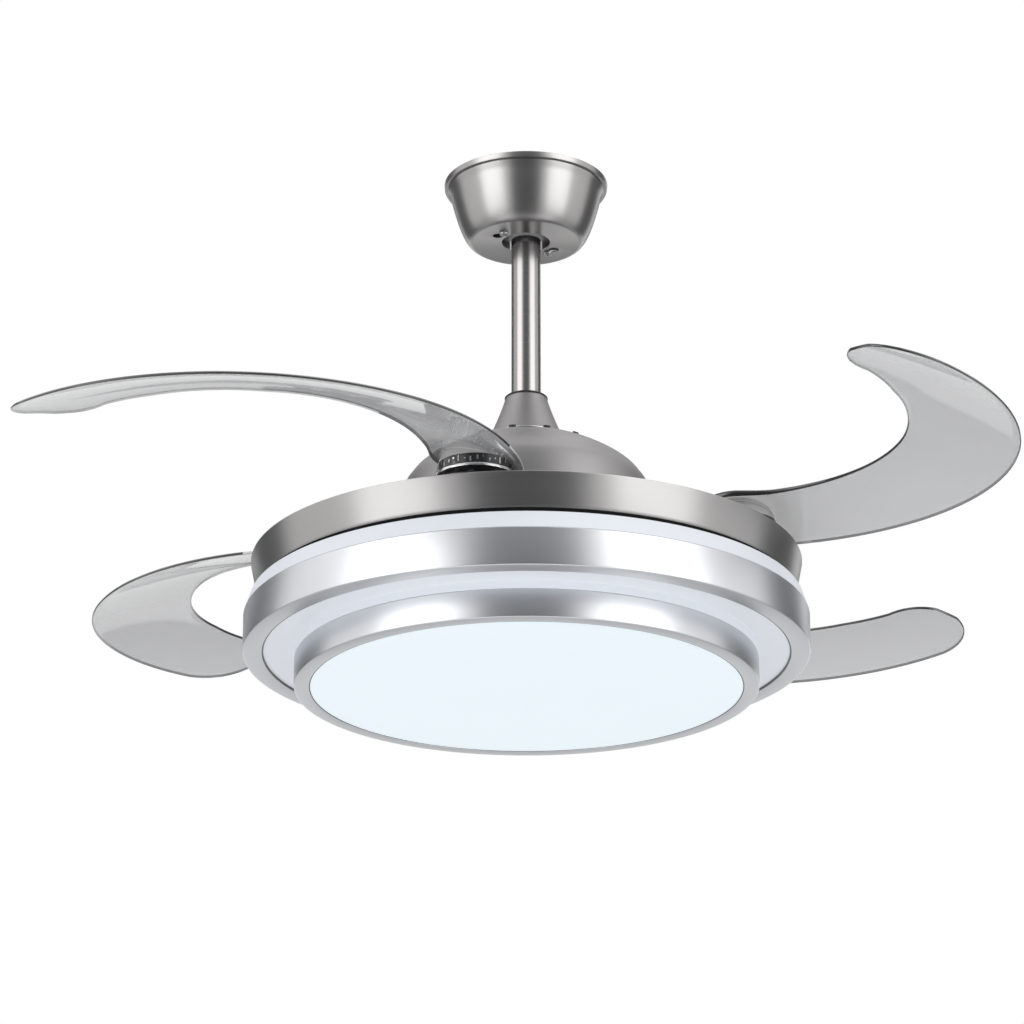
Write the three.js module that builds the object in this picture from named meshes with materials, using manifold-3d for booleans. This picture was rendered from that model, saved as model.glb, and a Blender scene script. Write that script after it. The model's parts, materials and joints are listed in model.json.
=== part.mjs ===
// Ceiling fan with four retractable blades and a two-tier round light.
// Millimetres, +Z up. The origin is on the ceiling plane, on the fan's axis.
// The blades are shown swung out, as they stand while the fan runs.

import * as THREE from 'three';
import { mergeVertices } from 'three/addons/utils/BufferGeometryUtils.js';
import Module from 'manifold-3d';

const wasm = await Module();
wasm.setup();

// ---------------------------------------------------------------- clearances
const seat = 0.3;              // between two pieces that rest on each other
const screwSlack = 0.3;        // round a screw's shank, each side
const boardSheet = 1.6;        // thickness of the circuit boards

// ------------------------------------------------------------- ceiling mount
const bracketSteel = 2.5;
const bracketTopLength = 96;
const bracketTopWidth = 40;
const bracketLegSpan = 72;
const bracketLegWidth = 30;
const bracketFloorWidth = 54;
const bracketDepth = 54;       // ceiling to the underside of the socket plate
const ceilingSlotLength = 14;
const ceilingSlotWidth = 5;
const ceilingSlotSpacing = 70;
const receiverLength = 52;
const receiverWidth = 34;
const receiverHeight = 12;

const canopyRadius = 75;
const canopyHeight = 58.2;
const canopyCeilingGap = 0.8;
const canopyRimHeight = 6.2;
const canopyStep = 4.5;        // how far the bowl is set in under the rim
const canopyCurve = 1.8;       // 1 would be a cone, more is rounder
const canopyFloorRadius = 49.6;
const canopyHoleRadius = 22;
const canopySheet = 1.2;
const canopyScrewCircle = 30;
const canopyScrewAngles = [48, 228];
const canopyScrewRadius = 1.9;
const canopyScrewHeadRadius = 4.2;
const canopyScrewHeadHeight = 2.2;
const keyholeSweep = 17;       // degrees of the keyhole's narrow arc

// -------------------------------------------------------------- ball and rod
const ballRadius = 21;
const ballDepth = 40;          // ceiling to the ball's centre
const rodRadius = 13.35;       // 3/4 inch pipe, 26.7 mm outside
const rodWall = 2.5;
const rodVisible = 153;        // canopy floor to the top of the coupling cover
const rodStub = 15;            // rod above the ball's centre
const rodFit = 0.3;
const ballPinRadius = 3;
const cableRadius = 2.8;
const cableInShaft = 2.2;      // off the axis in the shaft
const cableInRod = 6.6;        // off the axis in the rod, beside its pins
const cableTail = 8;

// ---------------------------------------------------- coupling above the motor
const bellHeight = 36;
const bellTopRadius = 19;
const bellFootRadius = 33.5;
const bellCurve = 1.15;        // 1 would be a cone, more flares later
const bellCrown = 1.5;         // height of the rounded top edge
const bellSheet = 1.2;
const gasketHeight = 2.4;
const neckRadius = 17;
const neckDrop = 8;            // bell top to the yoke's neck
const rodSeatDepth = 5;        // rod end below the dome's top
const yokeWeb = 4.4;
const yokeFlangeRadius = 30;
const yokeFlange = 5.7;
const yokeBossRadius = 20;
const yokeBossLength = 19.5;
const hitchPinRadius = 2.5;
const hitchPinDrop = 20;       // below the bell's top
const setScrewDrop = 13;
const setScrewRadius = 2;
const domeScrewCircle = 22;
const domeScrewCount = 3;
const smallScrewRadius = 1.8;
const smallHeadRadius = 2.8;
const smallHeadHeight = 1.8;

// ---------------------------------------------------------------- motor dome
const domeHeight = 111.5;
const domeRadius = 117.5;
const domeSheet = 1.5;
// Skin from the bell to the rim, as shares of the dome's radius and height.
const domeProfile = [[0.39, 0.041], [0.586, 0.142], [0.783, 0.27], [0.889, 0.382], [0.953, 0.538]];
const ventCount = 12;
const ventCircle = 57;
const ventLength = 8;
const ventWidth = 3.6;
const ventSlope = 25;          // of the dome's skin at the vents, degrees
const ventDrop = 10;           // dome's top to the vents
const ventDrill = 6;

// --------------------------------------------------------------------- motor
const shaftRadius = 10;
const shaftBore = 5.8;
const collarRadius = 16;
const collarHeight = 4;
const bearingRadius = 18;
const bearingHeight = 8;
const rotorRadius = 98;
const rotorWall = 4;
const rotorPlate = 4;
const rotorBaseHeight = 6.7;
const rotorBevel = 9;
const rotorCupHeight = 67.7;
const magnetThickness = 5.7;
const magnetHeight = 44;
const poleCount = 9;
const airGap = 1.5;
const statorHeight = 28;
const statorHubRadius = 34;
const poleNeckWidth = 10;
const poleShoeDepth = 8;
const poleShoeSweep = 34;
const coilWidth = 27;
const coilRootGap = 1.5;
const coilShoeGap = 2.8;
const coilOverhang = 5;
const bushRadius = 21.7;

// --------------------------------------------------- blade carrier and gears
const carrierBelowDome = 17.2; // dome rim to the carrier's top
const carrierRadius = 228;
const carrierPlate = 3;
const carrierBore = 20;
const pivotRadius = 192;       // fan axis to a blade's pivot
const pivotAzimuth = -102.7;   // first blade's pivot, degrees from +X
const bladeCount = 4;
const ringTeeth = 76;
const hubTeeth = 20;
const gearModule = (2 * pivotRadius) / (ringTeeth + hubTeeth);
const gearBacklash = 0.5;
const addendum = 0.85 * gearModule;
const dedendum = 1.15 * gearModule;
const gearHeight = 5;
const ringHeight = 4.8;
const ringWall = 6.4;          // ring gear's rim under the roots of its teeth
const ringFit = 1.3;           // round the guide, so that the ring turns freely
const guideRadius = (gearModule * ringTeeth) / 2 - dedendum - ringWall - ringFit;
const guideWall = 6.7;
const guideStepWidth = 6.3;
const coverOverlap = 9.8;      // how far the cover reaches out over the ring gear
const coverRadius = guideRadius + coverOverlap;
const coverSheet = 1.7;
const lightenInner = 162;
const lightenOuter = 215;
const lightenSweep = 46;

const hubRadius = 41;
const hubHeight = 15.7;
const hubStandoff = 4;         // carrier's top to the hub's underside
const thrustInner = 20;
const thrustOuter = 25;
const pinRadius = 6;
const pinHeadRadius = 9;
const pinHeadHeight = 2.7;
const pinTopAboveHub = 5;
const pinFit = 0.3;
const springInner = 9;
const springOuter = 17.5;
const springHeight = 12.2;
const springRecess = 9;
const clipRadius = 10.5;
const clipHeight = 1.5;

// -------------------------------------------------------------------- blades
const foldAngle = 94.65;       // swung out from the folded ring, degrees
const sweepOuter = 250.5;      // blade's outer edge, from its arc's centre
const bladeSpan = 142;         // degrees of arc from pivot to tip
const growEnd = 60;            // where the outer edge has reached its radius
const innerGrow = 6.5;         // what the inner edge has moved out by then
const outerTaperStart = 85;
const outerTaper = 4.5;        // what the outer edge has drawn in at the tip
const innerTaperStart = 110;
const innerTaper = 5;
const tipSpan = 14;            // degrees of arc that the round tip takes up
const tipRoundness = 2.2;      // 2 is an ellipse, more is squarer
const tipLean = 5;             // tip's middle towards the inner edge
const bladeSheet = 2.6;
const lipHeight = 2.9;         // extra thickness of the inner edge at the root
const lipEnd = 55;
const camber = 4;
const outerRise = 0.5;         // outer edge above the hub at the root
const outerTipRise = 18;
const outerRiseStart = 50;
const outerRiseCurve = 1.4;
const innerRise = 18.5;
const innerMidRise = 8;
const innerMidEnd = 75;
const innerTipRise = 5;
const bossRimHeight = 4;
const bossBaseRadius = 38.5;
const bossTopRadius = 27;
const bossHollow = 24.5;
const bossHollowTop = 21.5;
const bossHeight = 26.5;

// ---------------------------------------------------------------------- tray
const trayRimRadius = 244.4;
const trayFootRadius = 238;
const trayDepth = 30.7;
const traySheet = 2;
const trayRimRise = 3.7;       // carrier's top to the tray's rim
const trayCorner = 5;
const nutRadius = 15;
const nutHeight = 7.4;
const shaftEndBelowNut = 4;

// --------------------------------------------------------------------- light
const chassisRadius = 239;
const chassisSheet = 2.4;
const chassisHole = 32;
const bandFit = 0.4;           // white band over the upper ring's edge
const upperRingRadius = 250;
const upperRingHeight = 33;
const ringSheet = 1.6;
const upperLipWidth = 17;
const edgeBevel = 1;
const bandHeight = 15.6;
const bandTopInset = 7;
const diffuserWall = 2.5;
const bandFlange = 7;
const lowerRingRadius = 204.5;
const lowerLipWidth = 13.5;
const skirtHeight = 5;         // white band between the two rings
const lowerRingDepth = 30;     // upper ring's underside to the lower one's
const discBulge = 1.6;
const discRecess = 0.4;        // face's rim above the ring's lip
const ledPlateHeight = 2;
const ledPlateDrop = 2;
const standoffCircle = 180;
const standoffRadius = 5;
const standoffCount = 4;
const driverLength = 110;
const driverWidth = 46;
const driverHeight = 24;
const driverOffset = 100;
const ringBoardWidth = 20;
const ringBoardGap = 3;        // to the white band's flange
const discBoardRadius = 165;

// ------------------------------------------------------------- stacked levels
const canopyTop = -canopyCeilingGap;
const canopyFloor = canopyTop - canopyHeight;
const bellTop = canopyFloor - rodVisible;
const domeTop = bellTop - bellHeight - seat;
const domeRim = domeTop - domeHeight;
const rodEnd = domeTop - rodSeatDepth;
const carrierTop = domeRim - carrierBelowDome;
const carrierFoot = carrierTop - carrierPlate;
const hubFoot = carrierTop + hubStandoff;
const hubTop = hubFoot + hubHeight;
const bladeRoot = hubTop + seat;
const trayRim = carrierTop + trayRimRise;
const trayFloor = trayRim - trayDepth;
const trayFoot = trayFloor - traySheet;
const chassisTop = trayFoot - seat;
const chassisFoot = chassisTop - chassisSheet;
const bandTop = chassisFoot - seat;
const lightZ = bandTop - bandHeight - bandFit - upperRingHeight;
const shaftTop = rodEnd - yokeWeb - 2 * seat;
const shaftEnd = trayFoot - nutHeight - shaftEndBelowNut;
const rotorBaseTop = carrierTop + seat + rotorBaseHeight;
const rotorCupTop = rotorBaseTop + seat + rotorCupHeight;

// ------------------------------------------------------------ round divisions
const wideSteps = 28;          // carrier, tray and light
const roundSteps = 20;         // canopy and dome
const motorSteps = 20;
const hubSteps = 12;
const ballSteps = 20;
const smallSteps = 8;
const screwSteps = 5;

// ----------------------------------------------------------- geometry helpers
function toSolid(geometry) {
  const bare = geometry.clone();
  bare.deleteAttribute('normal');
  bare.deleteAttribute('uv');
  const merged = mergeVertices(bare, 1e-4);
  const corners = merged.index.array;
  const triangles = [];
  for (let i = 0; i < corners.length; i += 3) {
    const [a, b, c] = [corners[i], corners[i + 1], corners[i + 2]];
    if (a !== b && b !== c && a !== c) {
      triangles.push(a, b, c);
    }
  }
  return new wasm.Manifold(new wasm.Mesh({
    numProp: 3,
    vertProperties: new Float32Array(merged.attributes.position.array),
    triVerts: new Uint32Array(triangles),
  }));
}

function toGeometry(solid) {
  const mesh = solid.getMesh();
  const geometry = new THREE.BufferGeometry();
  geometry.setAttribute('position', new THREE.BufferAttribute(new Float32Array(mesh.vertProperties), 3));
  geometry.setIndex(new THREE.BufferAttribute(new Uint32Array(mesh.triVerts), 1));
  return geometry;
}

function cut(base, ...tools) {
  return toGeometry(tools.reduce((left, tool) => left.subtract(toSolid(tool)), toSolid(base)));
}

function join(first, ...others) {
  return toGeometry(others.reduce((sum, other) => sum.add(toSolid(other)), toSolid(first)));
}

// A closed profile of [radius, z] corners turned about Z. Profiles that touch
// the axis start and end on it; the others come back to their first corner.
function revolve(profile, steps = roundSteps) {
  const corners = [...profile];
  const onAxis = corners[0][0] === 0;
  if (!onAxis) {
    corners.push(corners[0]);
  }
  let area = 0;
  for (let i = 0; i < corners.length; i += 1) {
    const [r0, z0] = corners[i];
    const [r1, z1] = corners[(i + 1) % corners.length];
    area += r0 * z1 - r1 * z0;
  }
  if (area < 0) {
    corners.reverse();
  }
  const points = corners.map(([r, z]) => new THREE.Vector2(r, z));
  return new THREE.LatheGeometry(points, steps).rotateX(Math.PI / 2);
}

const disc = (radius, low, high, steps = roundSteps) =>
  revolve([[0, low], [radius, low], [radius, high], [0, high]], steps);

const ring = (inner, outer, low, high, steps = roundSteps) =>
  revolve([[inner, low], [outer, low], [outer, high], [inner, high]], steps);

const block = (length, width, low, high, x = 0, y = 0) =>
  new THREE.BoxGeometry(length, width, high - low).translate(x, y, (low + high) / 2);

const prism = (shape, low, high, curveSegments = 6) =>
  new THREE.ExtrudeGeometry(shape, { depth: high - low, bevelEnabled: false, curveSegments })
    .translate(0, 0, low);

const radians = THREE.MathUtils.degToRad;

const onCircle = (radius, degrees) =>
  [radius * Math.cos(radians(degrees)), radius * Math.sin(radians(degrees))];

const around = (count, start = 0) =>
  Array.from({ length: count }, (_, i) => start + (i * 360) / count);

function sectorShape(inner, outer, from, to) {
  const shape = new THREE.Shape();
  shape.absarc(0, 0, outer, radians(from), radians(to), false);
  shape.absarc(0, 0, inner, radians(to), radians(from), true);
  shape.closePath();
  return shape;
}

// Copies of one solid, set on a circle about Z, as one geometry.
function pattern(makeOne, circle, angles) {
  const copies = angles.map((degrees) => {
    const [x, y] = onCircle(circle, degrees);
    return makeOne().rotateZ(radians(degrees)).translate(x, y, 0);
  });
  return join(...copies);
}

// Round drills set on a circle about Z, turned as the pieces that they fit.
const drillsAround = (radius, low, high, circle, angles, steps = screwSteps) => angles.map((degrees) => {
  const [x, y] = onCircle(circle, degrees);
  return disc(radius, low, high, steps).rotateZ(radians(degrees)).translate(x, y, 0);
});

// A pan-head screw pointing up: its head is below, its shank above.
const screwUp = (shank, head, headHeight, headFoot, tip) => revolve([
  [0, headFoot], [head, headFoot], [head, headFoot + headHeight], [shank, headFoot + headHeight],
  [shank, tip], [0, tip],
], screwSteps);

const screwDown = (shank, head, headHeight, headTop, tip) => revolve([
  [0, headTop], [head, headTop], [head, headTop - headHeight], [shank, headTop - headHeight],
  [shank, tip], [0, tip],
], screwSteps);

const fan = new THREE.Group();

const finish = (color, roughness, metalness, extra = {}) =>
  new THREE.MeshStandardMaterial({ color, roughness, metalness, flatShading: true, ...extra });

const nickel = finish(0x8c8a88, 0.36, 1);
const aluminium = finish(0xc9cdd2, 0.3, 1);
const steel = finish(0x9a9a9c, 0.4, 1);
const darkSteel = finish(0x4a4b4d, 0.5, 0.9);
const blackPlastic = finish(0x141415, 0.45, 0);
const clearSmoke = finish(0xb7b9be, 0.08, 0, { transparent: true, opacity: 0.45 });
const frosted = finish(0xeaf3f8, 0.45, 0);
const boardWhite = finish(0xe7e9e6, 0.6, 0);
const copper = finish(0xb0683a, 0.4, 0.9);
const rubber = finish(0x1a1a1a, 0.8, 0);
const ferrite = finish(0x35363a, 0.6, 0.3);

function addPart(group, name, geometry, material) {
  geometry.computeVertexNormals();
  const mesh = new THREE.Mesh(geometry, material);
  mesh.name = name;
  group.add(mesh);
  return mesh;
}

// The same piece set at several places on a circle, each a mesh of its own.
function addAround(group, name, geometry, material, circle, angles) {
  angles.forEach((degrees, i) => {
    const mesh = addPart(group, `${name}_${i + 1}`, geometry.clone(), material);
    mesh.position.set(...onCircle(circle, degrees), 0);
    mesh.rotation.z = radians(degrees);
  });
}

const ballGeometry = (radius) =>
  new THREE.SphereGeometry(radius, ballSteps, ballSteps / 2).rotateX(Math.PI / 2).translate(0, 0, -ballDepth);

// -------------------------------------------------------------- ceiling mount
function hangerBracket() {
  const legX = bracketLegSpan / 2 - bracketSteel / 2;
  const top = block(bracketTopLength, bracketTopWidth, -bracketSteel, 0);
  const legs = [-legX, legX].map((x) => block(bracketSteel, bracketLegWidth, -bracketDepth, -bracketSteel / 2, x));
  const floor = block(bracketLegSpan, bracketFloorWidth, -bracketDepth, -bracketDepth + bracketSteel);
  // Wide enough for the ball to tilt in, whichever of its faces meet.
  const socket = ballGeometry((ballRadius + seat) / Math.cos(Math.PI / ballSteps) ** 2);
  const throatWidth = 2 * (rodRadius + 1.5);
  const throat = block(throatWidth, bracketFloorWidth, -bracketDepth - 1, -bracketDepth + bracketSteel + 1,
    0, bracketFloorWidth / 2);
  const slots = [-1, 1].map((side) => block(ceilingSlotLength, ceilingSlotWidth, -bracketSteel - 1, 1,
    side * ceilingSlotSpacing / 2));
  const screwHoles = drillsAround(canopyScrewRadius + screwSlack, -bracketDepth - 1,
    -bracketDepth + bracketSteel + 1, canopyScrewCircle, canopyScrewAngles);
  return cut(join(top, floor, ...legs), socket, throat, ...slots, ...screwHoles);
}

function canopyShell() {
  const floorInner = canopyFloor + canopySheet;
  const bowlTop = canopyTop - canopyRimHeight;
  const bowlRadius = canopyRadius - canopyStep;
  // The bowl closes in from under the rim to the flat floor, more and more.
  const bowlPoints = 4;
  const bowl = (grow) => Array.from({ length: bowlPoints + 1 }, (_, i) => {
    const open = 1 - i / bowlPoints;
    const radius = canopyFloorRadius + (bowlRadius - canopyFloorRadius) * open;
    const depth = (bowlTop - canopyFloor) * (1 - open ** canopyCurve);
    return [radius - grow, bowlTop - depth + grow * (1 - open)];
  });
  const outer = [[canopyRadius, canopyTop], [canopyRadius, bowlTop + 1], ...bowl(0)];
  const inner = [...bowl(canopySheet).reverse(), [canopyRadius - canopySheet, bowlTop + 1 + canopySheet],
    [canopyRadius - canopySheet, canopyTop]];
  const profile = [...outer, [canopyHoleRadius, canopyFloor], [canopyHoleRadius, floorInner], ...inner];
  const shell = revolve(profile, roundSteps);
  const slotHalf = canopyScrewRadius + 0.6;
  const keyholes = canopyScrewAngles.flatMap((degrees) => {
    const slot = prism(sectorShape(canopyScrewCircle - slotHalf, canopyScrewCircle + slotHalf,
      degrees - keyholeSweep, degrees + 5), canopyFloor - 1, floorInner + 1, 2);
    const [x, y] = onCircle(canopyScrewCircle, degrees - keyholeSweep);
    const entry = disc(canopyScrewHeadRadius + 0.5, canopyFloor - 1, floorInner + 1, screwSteps).translate(x, y, 0);
    return [slot, entry];
  });
  return cut(shell, ...keyholes);
}

function addCeilingMount() {
  addPart(fan, 'hanger_bracket', hangerBracket(), steel);
  addPart(fan, 'canopy', canopyShell(), nickel);
  const headFoot = canopyFloor - seat - canopyScrewHeadHeight;
  const screw = screwUp(canopyScrewRadius, canopyScrewHeadRadius, canopyScrewHeadHeight, headFoot,
    -bracketDepth + bracketSteel + 3);
  addAround(fan, 'canopy_screw', screw, steel, canopyScrewCircle, canopyScrewAngles);
  addPart(fan, 'receiver_box', block(receiverLength, receiverWidth,
    -bracketSteel - seat - receiverHeight, -bracketSteel - seat), blackPlastic);
}

// ---------------------------------------------------------------- ball and rod
const drillAlongX = (radius, z) =>
  new THREE.CylinderGeometry(radius, radius, 4 * ballRadius, screwSteps).rotateZ(Math.PI / 2).translate(0, 0, z);

function addRod() {
  const ballZ = -ballDepth;
  const rodTop = ballZ + rodStub;
  const bore = disc(rodRadius + rodFit, ballZ - 2 * ballRadius, ballZ + 2 * ballRadius, smallSteps);
  const ball = cut(ballGeometry(ballRadius), bore, drillAlongX(ballPinRadius + rodFit, ballZ));
  addPart(fan, 'hanger_ball', ball, blackPlastic);
  const hitchZ = bellTop - hitchPinDrop;
  const tube = ring(rodRadius - rodWall, rodRadius, rodEnd, rodTop, smallSteps);
  addPart(fan, 'downrod', cut(tube, drillAlongX(ballPinRadius + rodFit, ballZ),
    drillAlongX(hitchPinRadius + rodFit, hitchZ)), nickel);
  const pinHalf = ballRadius - 1.5;
  addPart(fan, 'ball_pin', new THREE.CylinderGeometry(ballPinRadius, ballPinRadius, 2 * pinHalf, screwSteps)
    .rotateZ(Math.PI / 2).translate(0, 0, ballZ), steel);
}

// ------------------------------------------------------ coupling above the motor
function addCoupling() {
  const foot = domeTop + seat;
  const span = bellTop - foot;
  // Concave flare from the neck to the foot.
  const flare = [0, 0.35, 0.62, 0.84, 1];
  const spread = (t) => bellTopRadius + (bellFootRadius - bellTopRadius) * t ** bellCurve;
  const drop = (t) => bellTop - bellCrown - (span - bellCrown) * t;
  const outer = flare.map((t) => [spread(t), drop(t)]);
  const inner = [...flare].reverse().map((t) => [spread(t) - bellSheet, Math.max(foot, drop(t) - bellSheet)]);
  const throat = rodRadius + 1;
  const bell = [[throat, bellTop], [bellTopRadius - bellCrown, bellTop], ...outer, ...inner,
    [throat, bellTop - bellSheet]];
  addPart(fan, 'coupling_cover', revolve(bell, hubSteps), nickel);
  addPart(fan, 'rod_gasket', revolve([
    [rodRadius + seat, bellTop + seat], [rodRadius + 2.6, bellTop + seat],
    [rodRadius + 1.6, bellTop + gasketHeight], [rodRadius + seat, bellTop + gasketHeight],
  ], smallSteps), rubber);

  const neckTop = bellTop - neckDrop;
  const flangeTop = domeTop - domeSheet - seat;
  const flangeFoot = flangeTop - yokeFlange;
  const bossFoot = flangeFoot - yokeBossLength;
  const shaftSeat = shaftRadius + seat;
  const webFoot = rodEnd - seat - yokeWeb;
  const yoke = revolve([
    [shaftSeat, bossFoot], [yokeBossRadius, bossFoot], [yokeBossRadius, flangeFoot],
    [yokeFlangeRadius, flangeFoot], [yokeFlangeRadius, flangeTop], [neckRadius, flangeTop],
    [neckRadius, neckTop], [rodRadius + rodFit, neckTop], [rodRadius + rodFit, rodEnd - seat],
    [shaftBore, rodEnd - seat], [shaftBore, webFoot], [shaftSeat, webFoot],
  ], smallSteps);
  const hitchZ = bellTop - hitchPinDrop;
  const screwZ = bellTop - setScrewDrop;
  const screwHoles = drillsAround(smallScrewRadius + screwSlack, flangeFoot - 1, domeTop + 1,
    domeScrewCircle, around(domeScrewCount, 90));
  const grubBore = new THREE.CylinderGeometry(setScrewRadius + screwSlack, setScrewRadius + screwSlack,
    2 * neckRadius, screwSteps).translate(0, -neckRadius, screwZ);
  addPart(fan, 'yoke', cut(yoke, drillAlongX(hitchPinRadius + rodFit, hitchZ), grubBore, ...screwHoles), darkSteel);
  const hitchLength = 2 * (neckRadius - seat);
  addPart(fan, 'hitch_pin', new THREE.CylinderGeometry(hitchPinRadius, hitchPinRadius, hitchLength, screwSteps)
    .rotateZ(Math.PI / 2).translate(0, 0, hitchZ), steel);
  const grubLength = neckRadius - rodRadius;
  addPart(fan, 'yoke_set_screw', new THREE.CylinderGeometry(setScrewRadius, setScrewRadius, grubLength, screwSteps)
    .translate(0, -rodRadius - seat - grubLength / 2, screwZ), steel);
  return screwHoles;
}

// ------------------------------------------------------------------ motor dome
function addDome(screwHoles) {
  // Low cone under the bell, rounding over to an almost upright skirt.
  const skin = domeProfile.map(([r, drop]) => [r * domeRadius, drop * domeHeight]);
  const shoulder = [[bellFootRadius + 1, 0], ...skin, [domeRadius, domeHeight]];
  const outer = shoulder.map(([r, drop]) => [r, domeTop - drop]);
  const inside = shoulder.filter((_, i) => i % 2 === 0);
  const inner = inside.map(([r, drop], i) => [
    r - domeSheet * Math.min(1, i),
    i === inside.length - 1 ? domeRim : domeTop - drop - domeSheet * (1 - i / inside.length),
  ]).reverse();
  const bore = neckRadius + seat;
  const shell = revolve([[bore, domeTop], ...outer, ...inner, [bore, domeTop - domeSheet]], roundSteps);
  const vents = around(ventCount, 15).map((degrees) => {
    const half = ventLength / 2;
    const oval = new THREE.Shape();
    oval.absellipse(0, 0, ventWidth / 2, half, 0, 2 * Math.PI, false, 0);
    const drill = prism(oval, -ventDrill, ventDrill, 3).rotateY(radians(ventSlope));
    const [x, y] = onCircle(ventCircle, degrees);
    return drill.rotateZ(radians(degrees)).translate(x, y, domeTop - ventDrop);
  });
  addPart(fan, 'motor_dome', cut(shell, ...vents, ...screwHoles), nickel);
  const screw = screwDown(smallScrewRadius, smallHeadRadius, smallHeadHeight, domeTop + seat + smallHeadHeight,
    domeTop - domeSheet - seat - yokeFlange + 1);
  addAround(fan, 'dome_screw', screw, steel, domeScrewCircle, around(domeScrewCount, 90));
}

// ----------------------------------------------------------------------- motor
// The leads run up the shaft and shift sideways in the rod, past its pins.
function leadCable() {
  const low = shaftEnd - cableTail;
  const high = -ballDepth + rodStub - 2;
  const bendLow = rodEnd - 1;
  const bendHigh = rodEnd + 8;
  const cable = revolve([
    [0, low], [cableRadius, low], [cableRadius, bendLow], [cableRadius, bendHigh], [cableRadius, high], [0, high],
  ], 8);
  const corners = cable.attributes.position;
  for (let i = 0; i < corners.count; i += 1) {
    const climb = Math.min(1, Math.max(0, (corners.getZ(i) - bendLow) / (bendHigh - bendLow)));
    corners.setY(i, corners.getY(i) + cableInShaft + (cableInRod - cableInShaft) * climb);
  }
  return cable;
}

function addMotor() {
  const collarFoot = trayFloor + seat;
  const shaft = revolve([
    [shaftBore, shaftEnd], [shaftRadius, shaftEnd], [shaftRadius, collarFoot], [collarRadius, collarFoot],
    [collarRadius, collarFoot + collarHeight], [shaftRadius, collarFoot + collarHeight],
    [shaftRadius, shaftTop], [shaftBore, shaftTop],
  ], smallSteps);
  addPart(fan, 'motor_shaft', shaft, steel);
  addPart(fan, 'lead_cable', leadCable(), rubber);

  const baseFoot = carrierTop + seat;
  const pocket = bearingRadius + seat;
  const cupFoot = rotorBaseTop + seat;
  const base = revolve([
    [pocket, baseFoot], [rotorRadius, baseFoot], [rotorRadius, rotorBaseTop], [pocket + 4, rotorBaseTop],
    [pocket + 4, rotorBaseTop + 2], [pocket, rotorBaseTop + 2],
  ], motorSteps);
  addPart(fan, 'rotor_base', base, aluminium);
  const cup = revolve([
    [pocket, rotorCupTop - bearingHeight - 1], [pocket + 4, rotorCupTop - bearingHeight - 1],
    [pocket + 4, rotorCupTop - rotorPlate], [rotorRadius - rotorWall - rotorBevel / 2, rotorCupTop - rotorPlate],
    [rotorRadius - rotorWall, rotorCupTop - rotorPlate - rotorBevel / 2], [rotorRadius - rotorWall, cupFoot],
    [rotorRadius, cupFoot], [rotorRadius, rotorCupTop - rotorBevel], [rotorRadius - rotorBevel, rotorCupTop],
    [pocket, rotorCupTop],
  ], motorSteps);
  addPart(fan, 'rotor_cup', cup, aluminium);
  const bearing = (low) => ring(shaftRadius + seat, bearingRadius, low, low + bearingHeight, motorSteps);
  addPart(fan, 'bearing_lower', bearing(baseFoot + 0.5), steel);
  addPart(fan, 'bearing_upper', bearing(rotorCupTop - bearingHeight - 0.5), steel);

  const middle = (cupFoot + rotorCupTop - rotorPlate) / 2;
  const magnetOuter = rotorRadius - rotorWall - seat;
  addPart(fan, 'magnet_ring', ring(magnetOuter - magnetThickness, magnetOuter,
    middle - magnetHeight / 2, middle + magnetHeight / 2, motorSteps), ferrite);

  const poleTip = magnetOuter - magnetThickness - airGap;
  const shoeInner = poleTip - poleShoeDepth;
  const low = middle - statorHeight / 2;
  const high = middle + statorHeight / 2;
  const neckHalf = poleNeckWidth / 2;
  const hubSweep = (Math.asin(neckHalf / statorHubRadius) * 180) / Math.PI;
  const neckSweep = (Math.asin(neckHalf / shoeInner) * 180) / Math.PI;
  const outline = around(poleCount, 15).flatMap((degrees) => [
    [statorHubRadius, degrees - hubSweep], [shoeInner, degrees - neckSweep],
    [shoeInner, degrees - poleShoeSweep / 2], [poleTip, degrees - poleShoeSweep / 2 + 1],
    [poleTip, degrees], [poleTip, degrees + poleShoeSweep / 2 - 1],
    [shoeInner, degrees + poleShoeSweep / 2], [shoeInner, degrees + neckSweep],
    [statorHubRadius, degrees + hubSweep],
  ].map(([radius, turn]) => new THREE.Vector2(...onCircle(radius, turn))));
  const lamination = new THREE.Shape(outline);
  const eye = new THREE.Path();
  eye.absarc(0, 0, bushRadius + seat, 0, 2 * Math.PI, true);
  lamination.holes.push(eye);
  addPart(fan, 'stator_core', prism(lamination, low, high, smallSteps), darkSteel);
  addPart(fan, 'stator_bush', ring(shaftRadius + seat, bushRadius, low - 4, high + 4, smallSteps), blackPlastic);

  // Each coil is a loop round its pole; neighbours meet where the poles start.
  const coilInner = statorHubRadius + coilRootGap;
  const coilOuter = shoeInner - coilShoeGap;
  const coil = () => cut(
    block(coilOuter - coilInner, coilWidth, low - coilOverhang, high + coilOverhang),
    block(coilOuter, poleNeckWidth + 2 * seat, low - seat, high + seat));
  addPart(fan, 'stator_coils', pattern(coil, (coilInner + coilOuter) / 2, around(poleCount, 15)), copper);
}

// ------------------------------------------------------------ gears and carrier
// Corners of an involute tooth about +X, from its lower flank to its upper one.
function toothCorners(teeth) {
  const pitch = (gearModule * teeth) / 2;
  const base = pitch * Math.cos(radians(20));
  const involute = (angle) => Math.tan(angle) - angle;
  const halfAt = (radius) => {
    const angle = Math.acos(Math.min(1, base / Math.max(radius, base)));
    return Math.PI / (2 * teeth) - gearBacklash / (2 * pitch) + involute(radians(20)) - involute(angle);
  };
  const radii = [pitch - dedendum, pitch + addendum];
  const flank = radii.map((radius) => [radius, (halfAt(radius) * 180) / Math.PI]);
  return [...flank.map(([r, a]) => [r, -a]), ...[...flank].reverse()];
}

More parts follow.
